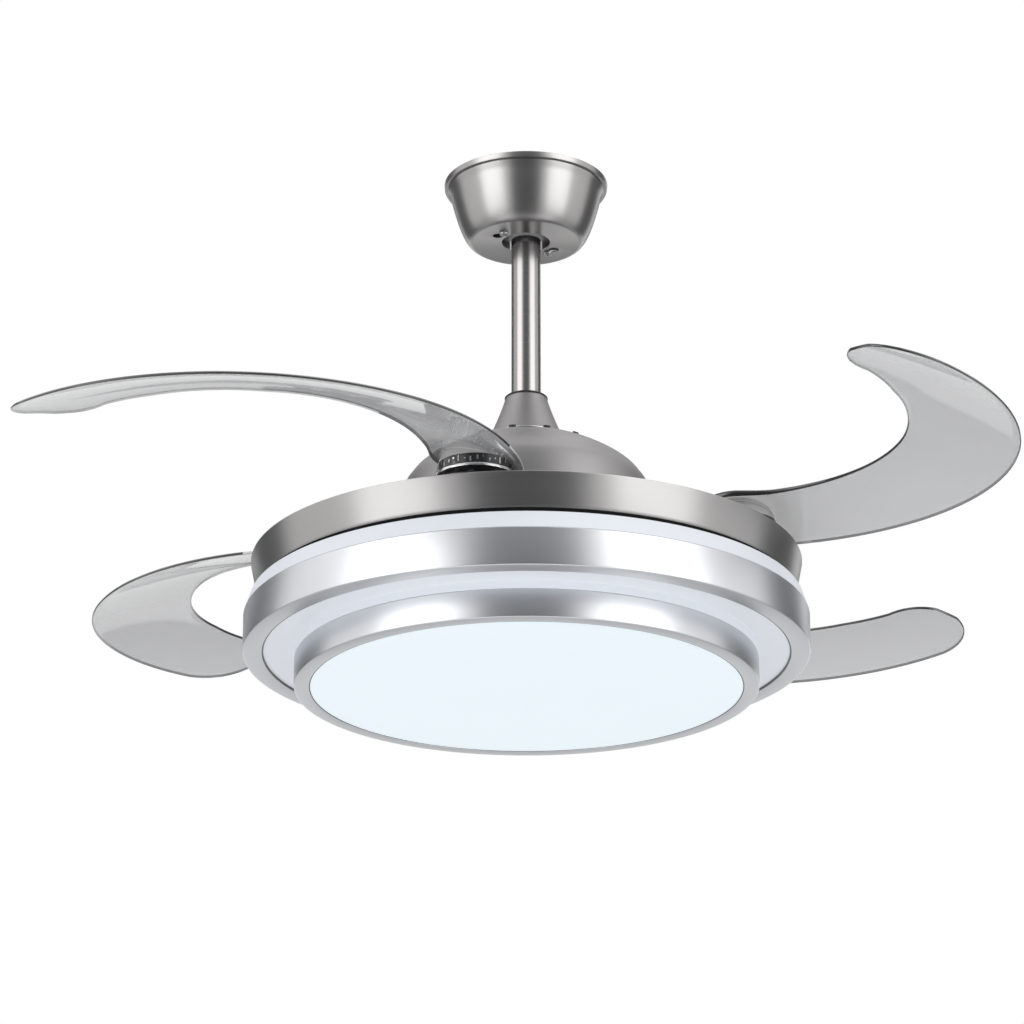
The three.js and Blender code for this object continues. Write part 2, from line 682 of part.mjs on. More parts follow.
function toothedRing(teeth, inner, low, high, toothAngles, plainRadius) {
  // Teeth stand at the given angles; between their groups the rim is plain.
  const plainStep = 14;
  const pitchAngle = 360 / teeth;
  const root = (gearModule * teeth) / 2 - dedendum;
  const corners = [];
  toothAngles.forEach((degrees, i) => {
    toothCorners(teeth).forEach(([r, a]) => corners.push([r, degrees + a]));
    const next = toothAngles[(i + 1) % toothAngles.length] + (i === toothAngles.length - 1 ? 360 : 0);
    const gap = next - degrees;
    if (gap > 1.5 * pitchAngle) {
      const from = degrees + pitchAngle * 0.5;
      const to = next - pitchAngle * 0.5;
      const steps = Math.max(2, Math.ceil((to - from) / plainStep));
      corners.push([root, from]);
      for (let k = 0; k <= steps; k += 1) {
        corners.push([plainRadius, from + ((to - from) * k) / steps]);
      }
      corners.push([root, to]);
    }
  });
  const shape = new THREE.Shape(corners.map(([r, a]) => new THREE.Vector2(...onCircle(r, a))));
  const bore = new THREE.Path();
  bore.absarc(0, 0, inner, 0, 2 * Math.PI, true);
  shape.holes.push(bore);
  return prism(shape, low, high, inner > hubRadius ? wideSteps / 2 : hubSteps / 2);
}

const pivotAngles = around(bladeCount, pivotAzimuth);

function addCarrier() {
  const guideTop = carrierTop + hubStandoff + gearHeight;
  const stepTop = carrierTop + hubStandoff - 2 * seat;
  const guideInner = guideRadius - guideWall;
  const plate = revolve([
    [carrierBore, carrierFoot], [carrierRadius, carrierFoot], [carrierRadius, carrierTop],
    [guideRadius + guideStepWidth, carrierTop], [guideRadius + guideStepWidth, stepTop], [guideRadius, stepTop],
    [guideRadius, guideTop], [guideInner, guideTop], [guideInner, carrierTop], [carrierBore, carrierTop],
  ], wideSteps);
  const thrustRings = pivotAngles.map((degrees) => {
    const [x, y] = onCircle(pivotRadius, degrees);
    return ring(thrustInner, thrustOuter, carrierTop - 0.5, hubFoot - seat, smallSteps).translate(x, y, 0);
  });
  const pinHoles = drillsAround(pinRadius + pinFit, carrierFoot - 1, carrierTop + 1, pivotRadius, pivotAngles,
    smallSteps);
  const windows = pivotAngles.map((degrees) => prism(sectorShape(lightenInner, lightenOuter,
    degrees + 45 - lightenSweep / 2, degrees + 45 + lightenSweep / 2), carrierFoot - 1, carrierTop + 1, 4));
  addPart(fan, 'blade_carrier', join(cut(plate, ...pinHoles, ...windows), ...thrustRings), blackPlastic);

  const coverFoot = guideTop + seat;
  addPart(fan, 'gear_cover', ring(guideInner, coverRadius, coverFoot, coverFoot + coverSheet, wideSteps),
    blackPlastic);

  // Toothed only where the hubs roll along it between folded and swung out.
  const toothPitch = 360 / ringTeeth;
  const ringTurn = (foldAngle * hubTeeth) / ringTeeth;
  const after = 1;
  const before = Math.ceil(ringTurn / toothPitch) + 1;
  const toothAngles = pivotAngles.flatMap((degrees) =>
    Array.from({ length: before + after + 1 }, (_, i) => degrees + (i - before) * toothPitch));
  const ringFoot = stepTop + seat;
  addPart(fan, 'sync_ring', toothedRing(ringTeeth, guideRadius + ringFit, ringFoot, ringFoot + ringHeight,
    toothAngles, (gearModule * ringTeeth) / 2 - dedendum), finish(0xd8d6cf, 0.5, 0));
}

function addPivots() {
  const headTop = carrierFoot - seat;
  const pinTop = hubTop + pinTopAboveHub;
  // Headed below the carrier, with a snap ring in its groove above the hub.
  const pin = revolve([
    [0, headTop - pinHeadHeight], [pinHeadRadius, headTop - pinHeadHeight], [pinHeadRadius, headTop],
    [pinRadius, headTop], [pinRadius, hubTop + seat], [clipRadius, hubTop + seat],
    [clipRadius, hubTop + seat + clipHeight], [pinRadius, hubTop + seat + clipHeight],
    [pinRadius, pinTop - 1], [pinRadius - 1, pinTop], [0, pinTop],
  ], smallSteps);
  addAround(fan, 'pivot_pin', pin, steel, pivotRadius, pivotAngles);
  const spring = ring(springInner, springOuter, carrierTop + seat, carrierTop + seat + springHeight, smallSteps);
  addAround(fan, 'return_spring', spring, steel, pivotRadius, pivotAngles);
}

// ---------------------------------------------------------------------- blades
// In a blade's own frame the pivot is the origin and the arc's centre lies at
// -X. The blade runs towards -Y, an angle psi of arc away from the pivot.
const ease = (x) => Math.min(1, Math.max(0, x));

// Inner and outer edge before the blade's two ends are rounded.
function fullRadii(psi) {
  const rootInner = pivotRadius - hubRadius;
  const rootOuter = pivotRadius + hubRadius;
  const bodyEnd = bladeSpan - tipSpan;
  const grow = 1 - (1 - ease(psi / growEnd)) ** 2;
  const outerDraw = outerTaper * ease((psi - outerTaperStart) / (bodyEnd - outerTaperStart));
  const innerDraw = innerTaper * ease((psi - innerTaperStart) / (bodyEnd - innerTaperStart));
  return [rootInner + innerGrow * grow + innerDraw, rootOuter + (sweepOuter - rootOuter) * grow - outerDraw];
}

function edgeRadii(psi) {
  if (psi < 0) {
    const across = pivotRadius * Math.cos(radians(psi));
    const half = Math.sqrt(Math.max(0, hubRadius ** 2 - (pivotRadius * Math.sin(radians(psi))) ** 2));
    return [across - half, across + half];
  }
  const [inner, outer] = fullRadii(psi);
  const reach = ease((psi - bladeSpan + tipSpan) / tipSpan);
  const half = ((outer - inner) / 2) * (1 - reach ** tipRoundness) ** (1 / tipRoundness);
  const middle = (inner + outer) / 2 - tipLean * reach;
  return [middle - half, middle + half];
}

// The round ends keep the slope of the full width: 0 inner edge, 1 outer edge.
function acrossAt(psi, t) {
  const [inner, outer] = edgeRadii(psi);
  const [fullInner, fullOuter] = fullRadii(psi);
  return (inner + (outer - inner) * t - fullInner) / (fullOuter - fullInner);
}

// Underside height above the blade's root plane.
function undersideAt(psi, share) {
  const t = acrossAt(psi, share);
  const outerShare = ease((psi - outerRiseStart) / (bladeSpan - outerRiseStart));
  const outer = outerRise + outerTipRise * outerShare ** outerRiseCurve;
  const climb = ease(psi / innerMidEnd);
  const inner = innerRise + innerMidRise * climb * (2 - climb)
    + innerTipRise * ease((psi - innerMidEnd) / (bladeSpan - innerMidEnd));
  return inner + (outer - inner) * t + camber * 4 * t * (1 - t);
}

const thicknessAt = (psi, share) =>
  bladeSheet + lipHeight * (1 - ease(psi / lipEnd)) ** 2 * (1 - acrossAt(psi, share)) ** 2;

const acrossSteps = 3;

function bladeStations() {
  const rootTurns = [-78, -50, -24];
  const root = rootTurns.map((turn) =>
    (Math.asin((hubRadius / pivotRadius) * Math.sin(radians(turn))) * 180) / Math.PI);
  const tipReaches = [0.5, 0.78, 0.96];
  const bodyEnd = bladeSpan - tipSpan;
  const count = 9;
  const body = Array.from({ length: count + 1 }, (_, i) => (i * bodyEnd) / count);
  return [...root, ...body, ...tipReaches.map((reach) => bodyEnd + tipSpan * reach)];
}

// A closed loft through the stations, between two height functions.
function loftBlade(lowAt, highAt) {
  const positions = [];
  const stations = bladeStations();
  const ts = Array.from({ length: acrossSteps + 1 }, (_, i) => i / acrossSteps);
  const place = (psi, t, z) => {
    const [inner, outer] = edgeRadii(psi);
    const radius = inner + (outer - inner) * t;
    const x = -pivotRadius + radius * Math.cos(radians(-psi));
    const y = radius * Math.sin(radians(-psi));
    positions.push(x, y, z);
  };
  stations.forEach((psi) => {
    ts.forEach((t) => place(psi, t, lowAt(psi, t)));
    [...ts].reverse().forEach((t) => place(psi, t, highAt(psi, t)));
  });
  const loop = 2 * ts.length;
  const index = [];
  for (let s = 0; s < stations.length - 1; s += 1) {
    for (let k = 0; k < loop; k += 1) {
      const a = s * loop + k;
      const b = s * loop + ((k + 1) % loop);
      index.push(a, b, a + loop, b, b + loop, a + loop);
    }
  }
  const last = (stations.length - 1) * loop;
  for (let k = 0; k < ts.length - 1; k += 1) {
    const across = loop - 1 - k;
    index.push(k, across, k + 1, across, across - 1, k + 1);
    index.push(last + k, last + k + 1, last + across, last + across, last + k + 1, last + across - 1);
  }
  const geometry = new THREE.BufferGeometry();
  geometry.setAttribute('position', new THREE.BufferAttribute(new Float32Array(positions), 3));
  geometry.setIndex(index);
  return geometry;
}

function bladeGeometry() {
  const sheet = loftBlade(undersideAt, (psi, t) => undersideAt(psi, t) + thicknessAt(psi, t));
  const above = loftBlade((psi, t) => undersideAt(psi, t) + bladeSheet / 2, () => 80);
  const boss = revolve([
    [bossHollow, 0], [hubRadius - 0.5, 0], [hubRadius - 0.5, bossRimHeight], [bossBaseRadius, bossRimHeight],
    [bossTopRadius, bossHeight], [bossHollowTop, bossHeight],
  ], hubSteps);
  return join(sheet, cut(boss, above));
}

function hubGeometry() {
  // Heights above the hub's underside.
  const gearRoot = hubRadius - dedendum - 2;
  const upper = revolve([
    [springOuter + 1, 0], [gearRoot, 0], [gearRoot, gearHeight - 0.2], [hubRadius, gearHeight - 0.1],
    [hubRadius, hubHeight], [pinRadius + pinFit, hubHeight], [pinRadius + pinFit, springRecess],
    [springOuter + 1, springRecess],
  ], hubSteps);
  const toothPitch = 360 / hubTeeth;
  const meshAngle = 180 - foldAngle;
  const count = Math.ceil(foldAngle / toothPitch) + 3;
  const toothAngles = Array.from({ length: count }, (_, i) => meshAngle + (i - 1.5) * toothPitch);
  return join(upper, toothedRing(hubTeeth, springOuter + 2, 0, gearHeight, toothAngles, hubRadius));
}

function addBlades() {
  const blade = bladeGeometry();
  const hub = hubGeometry();
  pivotAngles.forEach((degrees, i) => {
    const arm = new THREE.Group();
    arm.rotation.z = radians(degrees);
    fan.add(arm);
    const swung = new THREE.Group();
    swung.position.set(pivotRadius, 0, 0);
    swung.rotation.z = radians(foldAngle);
    arm.add(swung);
    addPart(swung, `blade_${i + 1}`, blade.clone(), clearSmoke).position.z = bladeRoot;
    addPart(swung, `hub_${i + 1}`, hub.clone(), blackPlastic).position.z = hubFoot;
  });
}

// ------------------------------------------------------------------------ tray
function addTray() {
  const bend = 2;
  const cornerOuter = [];
  const cornerInner = [];
  for (let i = 0; i <= bend; i += 1) {
    const turn = (i / bend) * (Math.PI / 2);
    const sweep = trayCorner * Math.sin(turn);
    const rise = trayCorner * (1 - Math.cos(turn));
    cornerOuter.push([trayFootRadius - trayCorner + sweep, trayFoot + rise]);
    cornerInner.push([trayFootRadius - trayCorner - 0.5 + (trayCorner - traySheet) * Math.sin(turn),
      trayFloor + (trayCorner - traySheet) * (1 - Math.cos(turn))]);
  }
  const profile = [
    [shaftRadius + seat, trayFoot], ...cornerOuter, [trayRimRadius, trayRim - 0.8],
    [trayRimRadius - 0.6, trayRim], [trayRimRadius - traySheet, trayRim],
    ...cornerInner.reverse(), [shaftRadius + seat, trayFloor],
  ];
  addPart(fan, 'tray', revolve(profile, wideSteps), nickel);
  const nutTop = trayFoot - seat;
  const hexagon = new THREE.Shape(around(6).map((degrees) => new THREE.Vector2(...onCircle(nutRadius, degrees))));
  const nut = cut(prism(hexagon, nutTop - nutHeight, nutTop),
    disc(shaftRadius + seat, nutTop - nutHeight - 1, nutTop + 1, smallSteps));
  addPart(fan, 'shaft_nut', nut, steel);
}

// ----------------------------------------------------------------------- light
// Heights in the light's group count from the upper ring's underside.
function addLight() {
  const light = new THREE.Group();
  light.position.z = lightZ;
  fan.add(light);
  addPart(fan, 'light_chassis', ring(chassisHole, chassisRadius, chassisFoot, chassisTop, wideSteps),
    blackPlastic);
  const chassis = chassisFoot - lightZ;

  const outer = upperRingRadius;
  const upperLipInner = outer - upperLipWidth;
  addPart(light, 'upper_ring', revolve([
    [upperLipInner, 0], [outer - edgeBevel, 0], [outer, edgeBevel], [outer, upperRingHeight],
    [outer - ringSheet, upperRingHeight], [outer - ringSheet, ringSheet],
    [upperLipInner, ringSheet],
  ], wideSteps), aluminium);

  const tubOuter = outer - ringSheet - seat;
  const tubFoot = ringSheet + seat;
  const tubFloor = tubFoot + diffuserWall;
  const bandFoot = upperRingHeight + bandFit;
  const bandHigh = bandFoot + bandHeight;
  const skirtInner = lowerRingRadius - diffuserWall;
  addPart(light, 'upper_diffuser', revolve([
    [lowerRingRadius, tubFoot], [tubOuter, tubFoot], [tubOuter, bandFoot], [outer - bandFit, bandFoot],
    [outer - bandTopInset, bandHigh], [outer - bandTopInset - bandFlange, bandHigh],
    [outer - bandTopInset - bandFlange, bandHigh - diffuserWall], [tubOuter - diffuserWall, bandFoot],
    [tubOuter - diffuserWall, tubFloor], [skirtInner, tubFloor],
    [skirtInner, -skirtHeight], [lowerRingRadius, -skirtHeight],
  ], wideSteps), frosted);

  const ringTop = -skirtHeight - seat;
  const lowerLipInner = lowerRingRadius - lowerLipWidth;
  addPart(light, 'lower_ring', revolve([
    [lowerLipInner, -lowerRingDepth], [lowerRingRadius - edgeBevel, -lowerRingDepth],
    [lowerRingRadius, edgeBevel - lowerRingDepth], [lowerRingRadius, ringTop], [lowerRingRadius - ringSheet, ringTop],
    [lowerRingRadius - ringSheet, -lowerRingDepth + ringSheet], [lowerLipInner, -lowerRingDepth + ringSheet],
  ], wideSteps), aluminium);

  // The round face bulges a little through the lower ring's lip.
  const lensSeat = -lowerRingDepth + ringSheet + seat;
  const faceRadius = lowerLipInner - seat;
  const bulge = [1, 0.8, 0.5, 0].map((t) =>
    [faceRadius * t, discRecess - lowerRingDepth - discBulge * (1 - t * t)]);
  addPart(light, 'lower_diffuser', revolve([
    ...bulge.reverse(), [faceRadius, lensSeat], [lowerRingRadius - ringSheet - seat, lensSeat],
    [lowerRingRadius - ringSheet - seat, lensSeat + diffuserWall], [0, lensSeat + diffuserWall],
  ], wideSteps), frosted);

  const plateTop = -ledPlateDrop;
  const plateFoot = plateTop - ledPlateHeight;
  const plateRim = skirtInner - seat;
  const plate = revolve([
    [0, plateFoot], [plateRim - ringSheet, plateFoot], [plateRim - ringSheet, lensSeat + diffuserWall + seat],
    [plateRim, lensSeat + diffuserWall + seat], [plateRim, plateTop], [0, plateTop],
  ], wideSteps);
  const standoffs = pattern(() => disc(standoffRadius, plateTop - 0.5, chassis - seat, screwSteps),
    standoffCircle, around(standoffCount, 45));
  addPart(light, 'led_plate', join(plate, standoffs), aluminium);
  addPart(light, 'led_disc_board', disc(discBoardRadius, plateFoot - seat - boardSheet, plateFoot - seat, roundSteps),
    boardWhite);
  const ringBoardOuter = outer - bandTopInset - bandFlange - ringBoardGap;
  addPart(light, 'led_ring_board', ring(ringBoardOuter - ringBoardWidth, ringBoardOuter,
    chassis - seat - boardSheet, chassis - seat, roundSteps), boardWhite);
  addPart(light, 'led_driver', block(driverLength, driverWidth, chassis - seat - driverHeight, chassis - seat,
    driverOffset), blackPlastic);
}

addCeilingMount();
addRod();
addDome(addCoupling());
addMotor();
addCarrier();
addPivots();
addBlades();
addTray();
addLight();

export default fan;
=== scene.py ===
"""Ceiling fan with four swing-out clear blades and a two-tier round light.

Lengths are in millimetres until a mesh is made, heights count from the ceiling.
"""
import json
import math

import bmesh
import bpy
from mathutils import Matrix, Vector


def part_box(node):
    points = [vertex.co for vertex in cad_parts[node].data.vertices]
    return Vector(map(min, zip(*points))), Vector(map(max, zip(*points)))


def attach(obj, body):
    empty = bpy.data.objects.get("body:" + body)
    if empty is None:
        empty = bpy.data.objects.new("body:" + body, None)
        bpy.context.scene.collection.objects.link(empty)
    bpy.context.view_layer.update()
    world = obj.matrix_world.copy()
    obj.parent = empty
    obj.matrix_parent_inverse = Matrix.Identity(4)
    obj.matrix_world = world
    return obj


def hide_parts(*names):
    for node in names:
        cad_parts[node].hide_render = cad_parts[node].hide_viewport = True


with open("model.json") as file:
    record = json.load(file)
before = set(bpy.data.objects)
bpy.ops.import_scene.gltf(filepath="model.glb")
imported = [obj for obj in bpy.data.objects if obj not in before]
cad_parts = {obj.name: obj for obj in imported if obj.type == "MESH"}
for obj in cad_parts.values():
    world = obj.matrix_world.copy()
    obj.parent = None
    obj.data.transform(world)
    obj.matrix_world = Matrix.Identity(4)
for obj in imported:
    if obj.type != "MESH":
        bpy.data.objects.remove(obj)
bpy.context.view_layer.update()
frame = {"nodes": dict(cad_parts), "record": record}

MM = 0.001
BLADES = range(1, 5)

# ------------------------------------------------------------ driving sizes
CANOPY_RADIUS = 75.0
CANOPY_RIM = 6.2
CANOPY_STEP = 4.5
CANOPY_CURVE = 1.8
CANOPY_FLOOR_RADIUS = 49.6
CANOPY_HOLE = 22.0
CANOPY_SHEET = 1.2
SCREW_CIRCLE = 30.0
SCREW_ANGLES = (48.0, 228.0)
KEYHOLE_SWEEP = 17.0
BALL_RADIUS = 21.0
BALL_Z = -40.0
ROD_RADIUS = 13.35
ROD_WALL = 2.5
BELL_TOP_RADIUS = 19.0
BELL_FOOT_RADIUS = 33.5
BELL_CURVE = 1.15
BELL_CROWN = 1.5
BELL_SINK = 4.2                # bell's foot below its seat on the dome
DOME_RADIUS = 117.5
DOME_PROFILE = [(0.39, 0.083), (0.586, 0.162), (0.783, 0.285), (0.889, 0.396), (0.953, 0.546)]
VENT_COUNT = 12
VENT_CIRCLE = 58.5
VENT_LENGTH = 8.0
VENT_WIDTH = 3.6
VENT_SLOPE = 22.0              # degrees
VENT_DROP = 14.0
VENT_FIRST = 18.0              # degrees from +X
DOME_HOLE = 17.3
PIVOT_RADIUS = 192.0
PIVOT_AZIMUTH = -102.7
FOLD_ANGLE = 94.65
GEAR_MODULE = 4.0
DEDENDUM = 1.15                # depth of a tooth's root, in modules
RING_TEETH = 76
HUB_TEETH = 20
HUB_RADIUS = 41.0
HUB_HEIGHT = 15.7
HUB_BORE = 18.5
SWEEP_OUTER = 250.5
BLADE_SPAN = 141.0
TIP_SPAN = 14.0
TIP_ROUNDNESS = 2.2
TIP_LEAN = 5.0
BLADE_SHEET = 2.6
LIP_HEIGHT = 2.9
CAMBER = 4.0
CAMBER_END = 60.0              # degrees of arc over which the camber grows
ROOT_RISE = 18.5               # of the inner edge over the outer one, at the pivot
BODY_RISE = 6.0                # of the inner edge over the first part of the arc
INNER_TIP_RISE = 6.5           # and over the rest of it
OUTER_TIP_RISE = 12.0
HIGHLIGHT_EDGE_END = 14.0         # degrees of arc whose outer edge carries a painted highlight
BOWL_RADIUS = 34.0             # black cup under the clear root
BOSS_RADIUS = 32.4
BOSS_TOP_RADIUS = 29.6
CUP_TOP = 16.5                 # at the pivot, above the blade's root
CUP_SLANT = 0.22               # its top falls outwards, to pass under the next blade
CUP_SHEET = 1.7
RIB_HEIGHT = 8.6
TRAY_RIM_RADIUS = 244.4
TRAY_FOOT_RADIUS = 238.0
TRAY_BORE = 10.3
CHASSIS_BORE = 32.0
CARRIER_RADIUS = 228.0
CARRIER_BORE = 20.0
GUIDE_INNER = 133.0            # guide that the ring gear turns on
GUIDE_OUTER = 139.7
GUARD_OUTER = 149.5
RING_BORE = 141.0
PIN_RADIUS = 6.0
UPPER_RADIUS = 250.0
UPPER_HEIGHT = 33.0
UPPER_LIP = 233.0
BAND_HEIGHT = 15.6
LOWER_RADIUS = 204.5
LOWER_LIP = 191.0
LOWER_DEPTH = 30.0
SKIRT = 5.0
RING_SHEET = 1.6

# ------------------------------------------------------------------- camera
IMAGE_SIZE = 1024
FOCAL_PIXELS = 3802
CAMERA_BACK = 3.192            # metres in front of the fan's axis
CAMERA_BELOW_LIGHT = 1.027     # metres under the upper ring's underside
CAMERA_PITCH = 20.03           # degrees upwards
CAMERA_YAW = 0.23


def low(node):
    """Lowest height of a CAD node, in millimetres."""
    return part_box(node)[0][2] / MM


def high(node):
    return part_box(node)[1][2] / MM


LIGHT_Z = low("upper_ring")


def add_camera():
    data = bpy.data.cameras.new("camera")
    data.sensor_width = 36.0
    data.lens = FOCAL_PIXELS * data.sensor_width / IMAGE_SIZE
    data.clip_end = 50.0
    camera = bpy.data.objects.new("camera", data)
    camera.location = (0.0, -CAMERA_BACK, LIGHT_Z * MM - CAMERA_BELOW_LIGHT)
    camera.rotation_euler = (math.radians(90 + CAMERA_PITCH), 0.0, math.radians(CAMERA_YAW))
    bpy.context.scene.collection.objects.link(camera)
    bpy.context.scene.camera = camera


add_camera()


# ---------------------------------------------------------------- materials
class Nodes:
    """A material's node tree with short ways to add and join nodes."""

    def __init__(self, name):
        self.material = bpy.data.materials.new(name)
        self.material.use_nodes = True
        self.tree = self.material.node_tree
        self.shader = self.tree.nodes["Principled BSDF"]
        self.place = self.add("ShaderNodeTexCoord").outputs["Object"]

    def add(self, kind, **settings):
        node = self.tree.nodes.new(kind)
        for key, value in settings.items():
            setattr(node, key, value)
        return node

    def join(self, source, target):
        self.tree.links.new(source, target)

    def math(self, operation, first, second=0.5):
        node = self.add("ShaderNodeMath", operation=operation)
        for socket, value in zip(node.inputs, (first, second)):
            if isinstance(value, (int, float)):
                socket.default_value = value
            else:
                self.join(value, socket)
        return node.outputs[0]

    def noise(self, scale, detail=3.0, place=None, roughness=0.5):
        node = self.add("ShaderNodeTexNoise")
        node.inputs["Scale"].default_value = scale
        node.inputs["Detail"].default_value = detail
        node.inputs["Roughness"].default_value = roughness
        self.join(place or self.place, node.inputs["Vector"])
        return node.outputs["Fac"]

    def ramp(self, factor, start, end, spread=(0.0, 1.0)):
        node = self.add("ShaderNodeMapRange")
        node.inputs["From Min"].default_value = spread[0]
        node.inputs["From Max"].default_value = spread[1]
        node.inputs["To Min"].default_value = start
        node.inputs["To Max"].default_value = end
        self.join(factor, node.inputs["Value"])
        return node.outputs["Result"]

    def colours(self, factor, first, second):
        node = self.add("ShaderNodeMix", data_type="RGBA")
        self.join(factor, node.inputs["Factor"])
        # A colour mix has its colour sockets after its number and vector ones.
        node.inputs[6].default_value = (*first, 1.0)
        node.inputs[7].default_value = (*second, 1.0)
        return node.outputs[2]

    def bump(self, height, strength, distance):
        node = self.add("ShaderNodeBump")
        node.inputs["Strength"].default_value = strength
        node.inputs["Distance"].default_value = distance
        self.join(height, node.inputs["Height"])
        self.join(node.outputs["Normal"], self.shader.inputs["Normal"])

    def ring_place(self, fine, along):
        """Coordinates that run across turned grooves finely and along them slowly."""
        split = self.add("ShaderNodeSeparateXYZ")
        self.join(self.place, split.inputs[0])
        x, y, z = split.outputs
        radius = self.math("SQRT", self.math("ADD", self.math("MULTIPLY", x, x), self.math("MULTIPLY", y, y)))
        merged = self.add("ShaderNodeCombineXYZ")
        self.join(self.math("MULTIPLY", radius, fine), merged.inputs[0])
        self.join(self.math("MULTIPLY", z, fine), merged.inputs[1])
        self.join(self.math("MULTIPLY", self.math("ADD", x, y), along), merged.inputs[2])
        return merged.outputs[0]


def shade(surface, colour, roughness, metallic=0.0, **sockets):
    surface.shader.inputs["Base Color"].default_value = (*colour, 1.0)
    surface.shader.inputs["Roughness"].default_value = roughness
    surface.shader.inputs["Metallic"].default_value = metallic
    for name, value in sockets.items():
        surface.shader.inputs[name.replace("_", " ")].default_value = value


def spun_metal(name, dark, pale, roughness, stretch, groove):
    """Metal brushed round its axis, whose highlights stand across the grooves."""
    surface = Nodes(name)
    shade(surface, pale, roughness, 1.0, Anisotropic=stretch, Anisotropic_Rotation=0.25)
    tangent = surface.add("ShaderNodeTangent", direction_type="RADIAL", axis="Z")
    surface.join(tangent.outputs[0], surface.shader.inputs["Tangent"])
    grain = surface.noise(1.0, 4.0, surface.ring_place(2600.0, 5.0), 0.6)
    cloud = surface.noise(9.0, 2.0)
    tone = surface.math("ADD", surface.math("MULTIPLY", grain, 0.55), surface.math("MULTIPLY", cloud, 0.45))
    surface.join(surface.colours(tone, dark, pale), surface.shader.inputs["Base Color"])
    surface.join(surface.ramp(grain, roughness - 0.03, roughness + 0.04, (0.3, 0.7)),
                 surface.shader.inputs["Roughness"])
    surface.bump(grain, groove, 0.00006)
    return surface.material


def plain_metal(name, dark, pale, roughness):
    surface = Nodes(name)
    shade(surface, pale, roughness, 1.0)
    speck = surface.noise(260.0, 4.0)
    surface.join(surface.colours(speck, dark, pale), surface.shader.inputs["Base Color"])
    surface.join(surface.ramp(surface.noise(60.0), roughness - 0.08, roughness + 0.1),
                 surface.shader.inputs["Roughness"])
    surface.bump(speck, 0.12, 0.0001)
    return surface.material


def moulded_plastic(name, dark, pale, roughness, grain=900.0, coat=0.0, shine=0.5):
    surface = Nodes(name)
    shade(surface, pale, roughness, 0.0, Coat_Weight=coat, Coat_Roughness=0.12, Specular_IOR_Level=shine)
    fine = surface.noise(grain, 2.0)
    surface.join(surface.colours(surface.noise(35.0), dark, pale), surface.shader.inputs["Base Color"])
    surface.join(surface.ramp(fine, roughness - 0.05, roughness + 0.07), surface.shader.inputs["Roughness"])
    surface.bump(fine, 0.15, 0.00008)
    return surface.material


def frosted_face(name, colour, glow):
    """Opal plastic with a painted glow: an emission that stands in for the light kit shining through it and
    keeps its downward faces bright.
    """
    surface = Nodes(name)
    shade(surface, colour, 0.42, 0.0, Emission_Strength=glow, Coat_Weight=0.25, Coat_Roughness=0.3)
    surface.shader.inputs["Emission Color"].default_value = (*colour, 1.0)
    fine = surface.noise(1100.0, 2.0)
    cloud = surface.noise(5.0, 1.0)
    surface.join(surface.colours(cloud, tuple(0.97 * c for c in colour), colour),
                 surface.shader.inputs["Base Color"])
    surface.join(surface.ramp(fine, 0.38, 0.5), surface.shader.inputs["Roughness"])
    surface.bump(fine, 0.08, 0.00006)
    return surface.material


def smoked_clear(name, colour, clear, edge_on, roughness=0.07):
    """Tinted clear plastic sheet: denser where it is looked at along its face."""
    surface = Nodes(name)
    shade(surface, colour, roughness, 0.0, Specular_IOR_Level=0.6, Coat_Weight=0.6, Coat_Roughness=0.03)
    facing = surface.add("ShaderNodeLayerWeight")
    facing.inputs["Blend"].default_value = 0.35
    ripple = surface.noise(22.0, 1.0)
    surface.join(surface.colours(ripple, tuple(0.94 * c for c in colour), colour),
                 surface.shader.inputs["Base Color"])
    surface.join(surface.ramp(facing.outputs["Facing"], clear, edge_on), surface.shader.inputs["Alpha"])
    surface.bump(ripple, 0.06, 0.002)
    return surface.material


NICKEL = spun_metal("brushed_nickel", (0.36, 0.352, 0.35), (0.46, 0.452, 0.45), 0.34, 0.65, 0.06)
SATIN_NICKEL = spun_metal("satin_nickel", (0.27, 0.262, 0.262), (0.35, 0.342, 0.342), 0.52, 0.35, 0.05)
ROD_NICKEL = spun_metal("rod_nickel", (0.32, 0.312, 0.31), (0.40, 0.39, 0.388), 0.24, 0.4, 0.02)
ALUMINIUM = spun_metal("bright_aluminium", (0.68, 0.695, 0.72), (0.76, 0.775, 0.80), 0.36, 0.6, 0.03)
# Both frosted copies carry a painted glow; the band's copy of the same acrylic has a darker colour and weaker
# glow than the round face's, which is painted shade.
FROSTED = frosted_face("frosted_face", (0.78, 0.87, 0.92), 0.31)
FROSTED_BAND = frosted_face("frosted_band", (0.70, 0.73, 0.78), 0.24)
BLADE = smoked_clear("smoked_blade", (0.51, 0.515, 0.53), 0.32, 0.8)
# Near-black plastic on the clear blade's edges and ends: painted shade for the darkening seen through the
# sheet's edge.
SHADED_EDGE = moulded_plastic("painted_dark_edge", (0.012, 0.012, 0.013), (0.04, 0.04, 0.043), 0.16, 300.0, 0.8)
